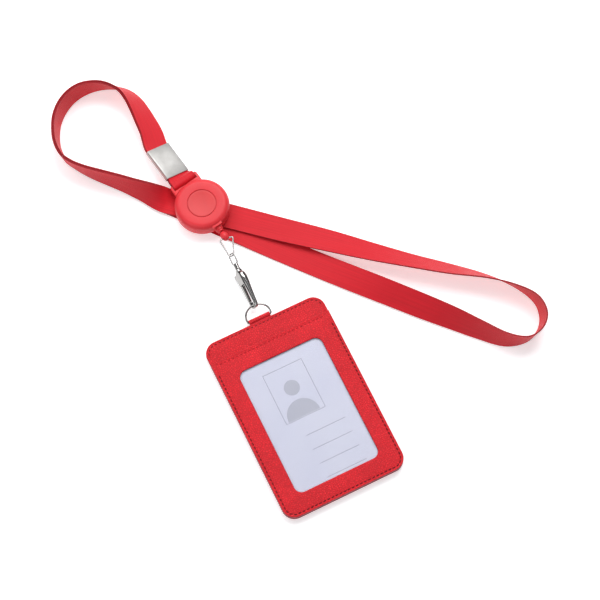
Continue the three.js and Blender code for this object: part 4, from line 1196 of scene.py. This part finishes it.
def build_label():
    """Thin disc with a raised rim."""
    low, high = node_range("label_disc")
    edge, drop = 0.15, 0.05
    outer = LABEL_RADIUS - GAP
    profile = [(0, low.z), (outer, low.z), *arc(outer - edge, high.z - edge, edge, 0, 90, 5),
               (outer - 1.1, high.z), (outer - 1.3, high.z - drop), (0, high.z - drop)]
    label = finish_mesh("label_face", *lathe(profile, 128), [LABEL], REEL)
    dress(label, "reel", "label_plastic", "label_disc")


def build_bead():
    """Stopper bead: a shouldered egg shape with the cross hole for the triangle ring."""
    seat, steps = MOUTH_END - GAP, 30
    profile = [(0, BEAD_MID - BEAD_HALF_LENGTH)]
    for i in range(1, steps):
        a = math.pi * (i / steps - 0.5)
        y = BEAD_MID + BEAD_HALF_LENGTH * math.sin(a)
        if y < seat - 0.2:
            profile.append((BEAD_RADIUS * math.cos(a), y))
    rim, _ = profile[-1]
    profile += [(rim, seat - 0.1), (rim - 0.15, seat), (0, seat)]
    bead = finish_mesh("stopper_bead", *moved(lathe(profile, 64, along_y=True), z=CORD_Z), [CORAL], REEL)
    hole = moved(rod(TRI_WIRE + GAP, -5, 5, "X"), y=BEAD_EYE_Y, z=CORD_Z, turn=BEAD_TURN)
    socket = moved(rod(CORD_RADIUS + 0.1, BEAD_MID + 0.6, 0), z=CORD_Z)
    boolean(bead, "DIFFERENCE", [hole, socket], REEL)
    dress(bead, "cord_end", "case_plastic", "cord_bead")


def build_pull_cord():
    """The cord that pays out: it stretches from the reel's mouth to the bead."""
    inside, held = -REEL_RADIUS + REEL_WALL + 0.7, BEAD_MID + 0.9
    steps, hold = 96, 0.2
    path = [Vector((0, inside + (held - inside) * i / steps, CORD_Z)) for i in range(steps + 1)]
    cord = finish_mesh("pull_cord_line", *sweep(path, CORD_RADIUS, 14, closed=False), [CORD], REEL)
    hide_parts("pull_cord")
    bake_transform(cord)


# ---- carried-over CAD nodes

CARRIED = {
    "hub_pin": PIN_STEEL,
    "gate_pin": PIN_STEEL,
    "gate_spring": SPRING_STEEL,
    "power_spring": SPRING_STEEL,
    "spool": NYLON,
    "spring_cover": NYLON,
    "wound_cord": CORD,
    "stiffener_board": BOARD,
}


def dress_carried():
    """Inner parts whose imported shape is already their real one."""
    for name, material in CARRIED.items():
        node = frame["nodes"][name]
        for material_slot in node.material_slots:
            material_slot.material = material


# ---- stage


def build_floor():
    """Pale sheet just under the part, lit a little from within so that its shadows stay faint."""
    half, drop = 6.0, -0.0004
    verts = [(-half, -half, drop), (half, -half, drop), (half, half, drop), (-half, half, drop)]
    floor = finish_mesh("floor", verts, [(0, 1, 2, 3)], [], Matrix.Identity(4))
    material = bpy.data.materials.new("floor")
    material.use_nodes = True
    shader = material.node_tree.nodes["Principled BSDF"].inputs
    shader["Base Color"].default_value = (0.93, 0.93, 0.935, 1)
    shader["Roughness"].default_value = 0.9
    shader["Emission Color"].default_value = (1, 1, 1, 1)
    shader["Emission Strength"].default_value = 0.42
    floor.data.materials.append(material)


def area_light(name, location, target, size, energy):
    data = bpy.data.lights.new(name, "AREA")
    data.shape = "DISK"
    data.size = size
    data.energy = energy
    light = bpy.data.objects.new(name, data)
    light.location = location
    light.rotation_euler = (Vector(target) - Vector(location)).to_track_quat("-Z", "Y").to_euler()
    bpy.context.scene.collection.objects.link(light)


def studio_world():
    """Pale overhead dome that darkens towards the horizon, so that polished metal shows streaks."""
    world = bpy.data.worlds.new("studio")
    world.use_nodes = True
    tree = world.node_tree
    coords = tree.nodes.new("ShaderNodeTexCoord")
    parts = tree.nodes.new("ShaderNodeSeparateXYZ")
    ramp = tree.nodes.new("ShaderNodeValToRGB")
    ground, horizon = (0.10, 0.10, 0.11), (0.03, 0.03, 0.035)
    sky, zenith = (0.75, 0.77, 0.80), (0.16, 0.16, 0.17)
    set_stops(ramp.color_ramp, [(0.0, ground), (0.34, horizon), (0.70, sky), (0.97, zenith)])
    tree.links.new(coords.outputs["Generated"], parts.inputs[0])
    tree.links.new(parts.outputs[2], ramp.inputs["Fac"])
    tree.links.new(ramp.outputs["Color"], tree.nodes["Background"].inputs["Color"])
    tree.nodes["Background"].inputs["Strength"].default_value = 0.7
    bpy.context.scene.world = world


def build_lights():
    middle = (0.03, 0.08, 0)
    area_light("key", (0.60, 0.75, 1.15), middle, 1.1, 17)
    area_light("fill", (-0.9, -0.3, 1.0), middle, 1.0, 4)
    area_light("back", (-0.35, 1.05, 1.15), middle, 1.1, 7)
    studio_world()
    bpy.context.scene.view_settings.view_transform = "Standard"


def build_camera():
    data = bpy.data.cameras.new("camera")
    data.lens = 120
    data.sensor_width = 36
    camera = bpy.data.objects.new("camera", data)
    camera.location = (-0.1277, -0.2556, 1.1019)
    look = Vector((0.02609, 0.05826, 0)) - camera.location
    camera.rotation_euler = look.to_track_quat("-Z", "Y").to_euler()
    bpy.context.scene.collection.objects.link(camera)
    bpy.context.scene.camera = camera


build_camera()
build_floor()
build_lights()
build_strap()
build_crimp()
build_holder()
build_dee()
build_triangle()
build_hook()
build_gate()
build_eye()
build_back_case()
build_front_case()
build_label()
build_bead()
build_pull_cord()
dress_carried()
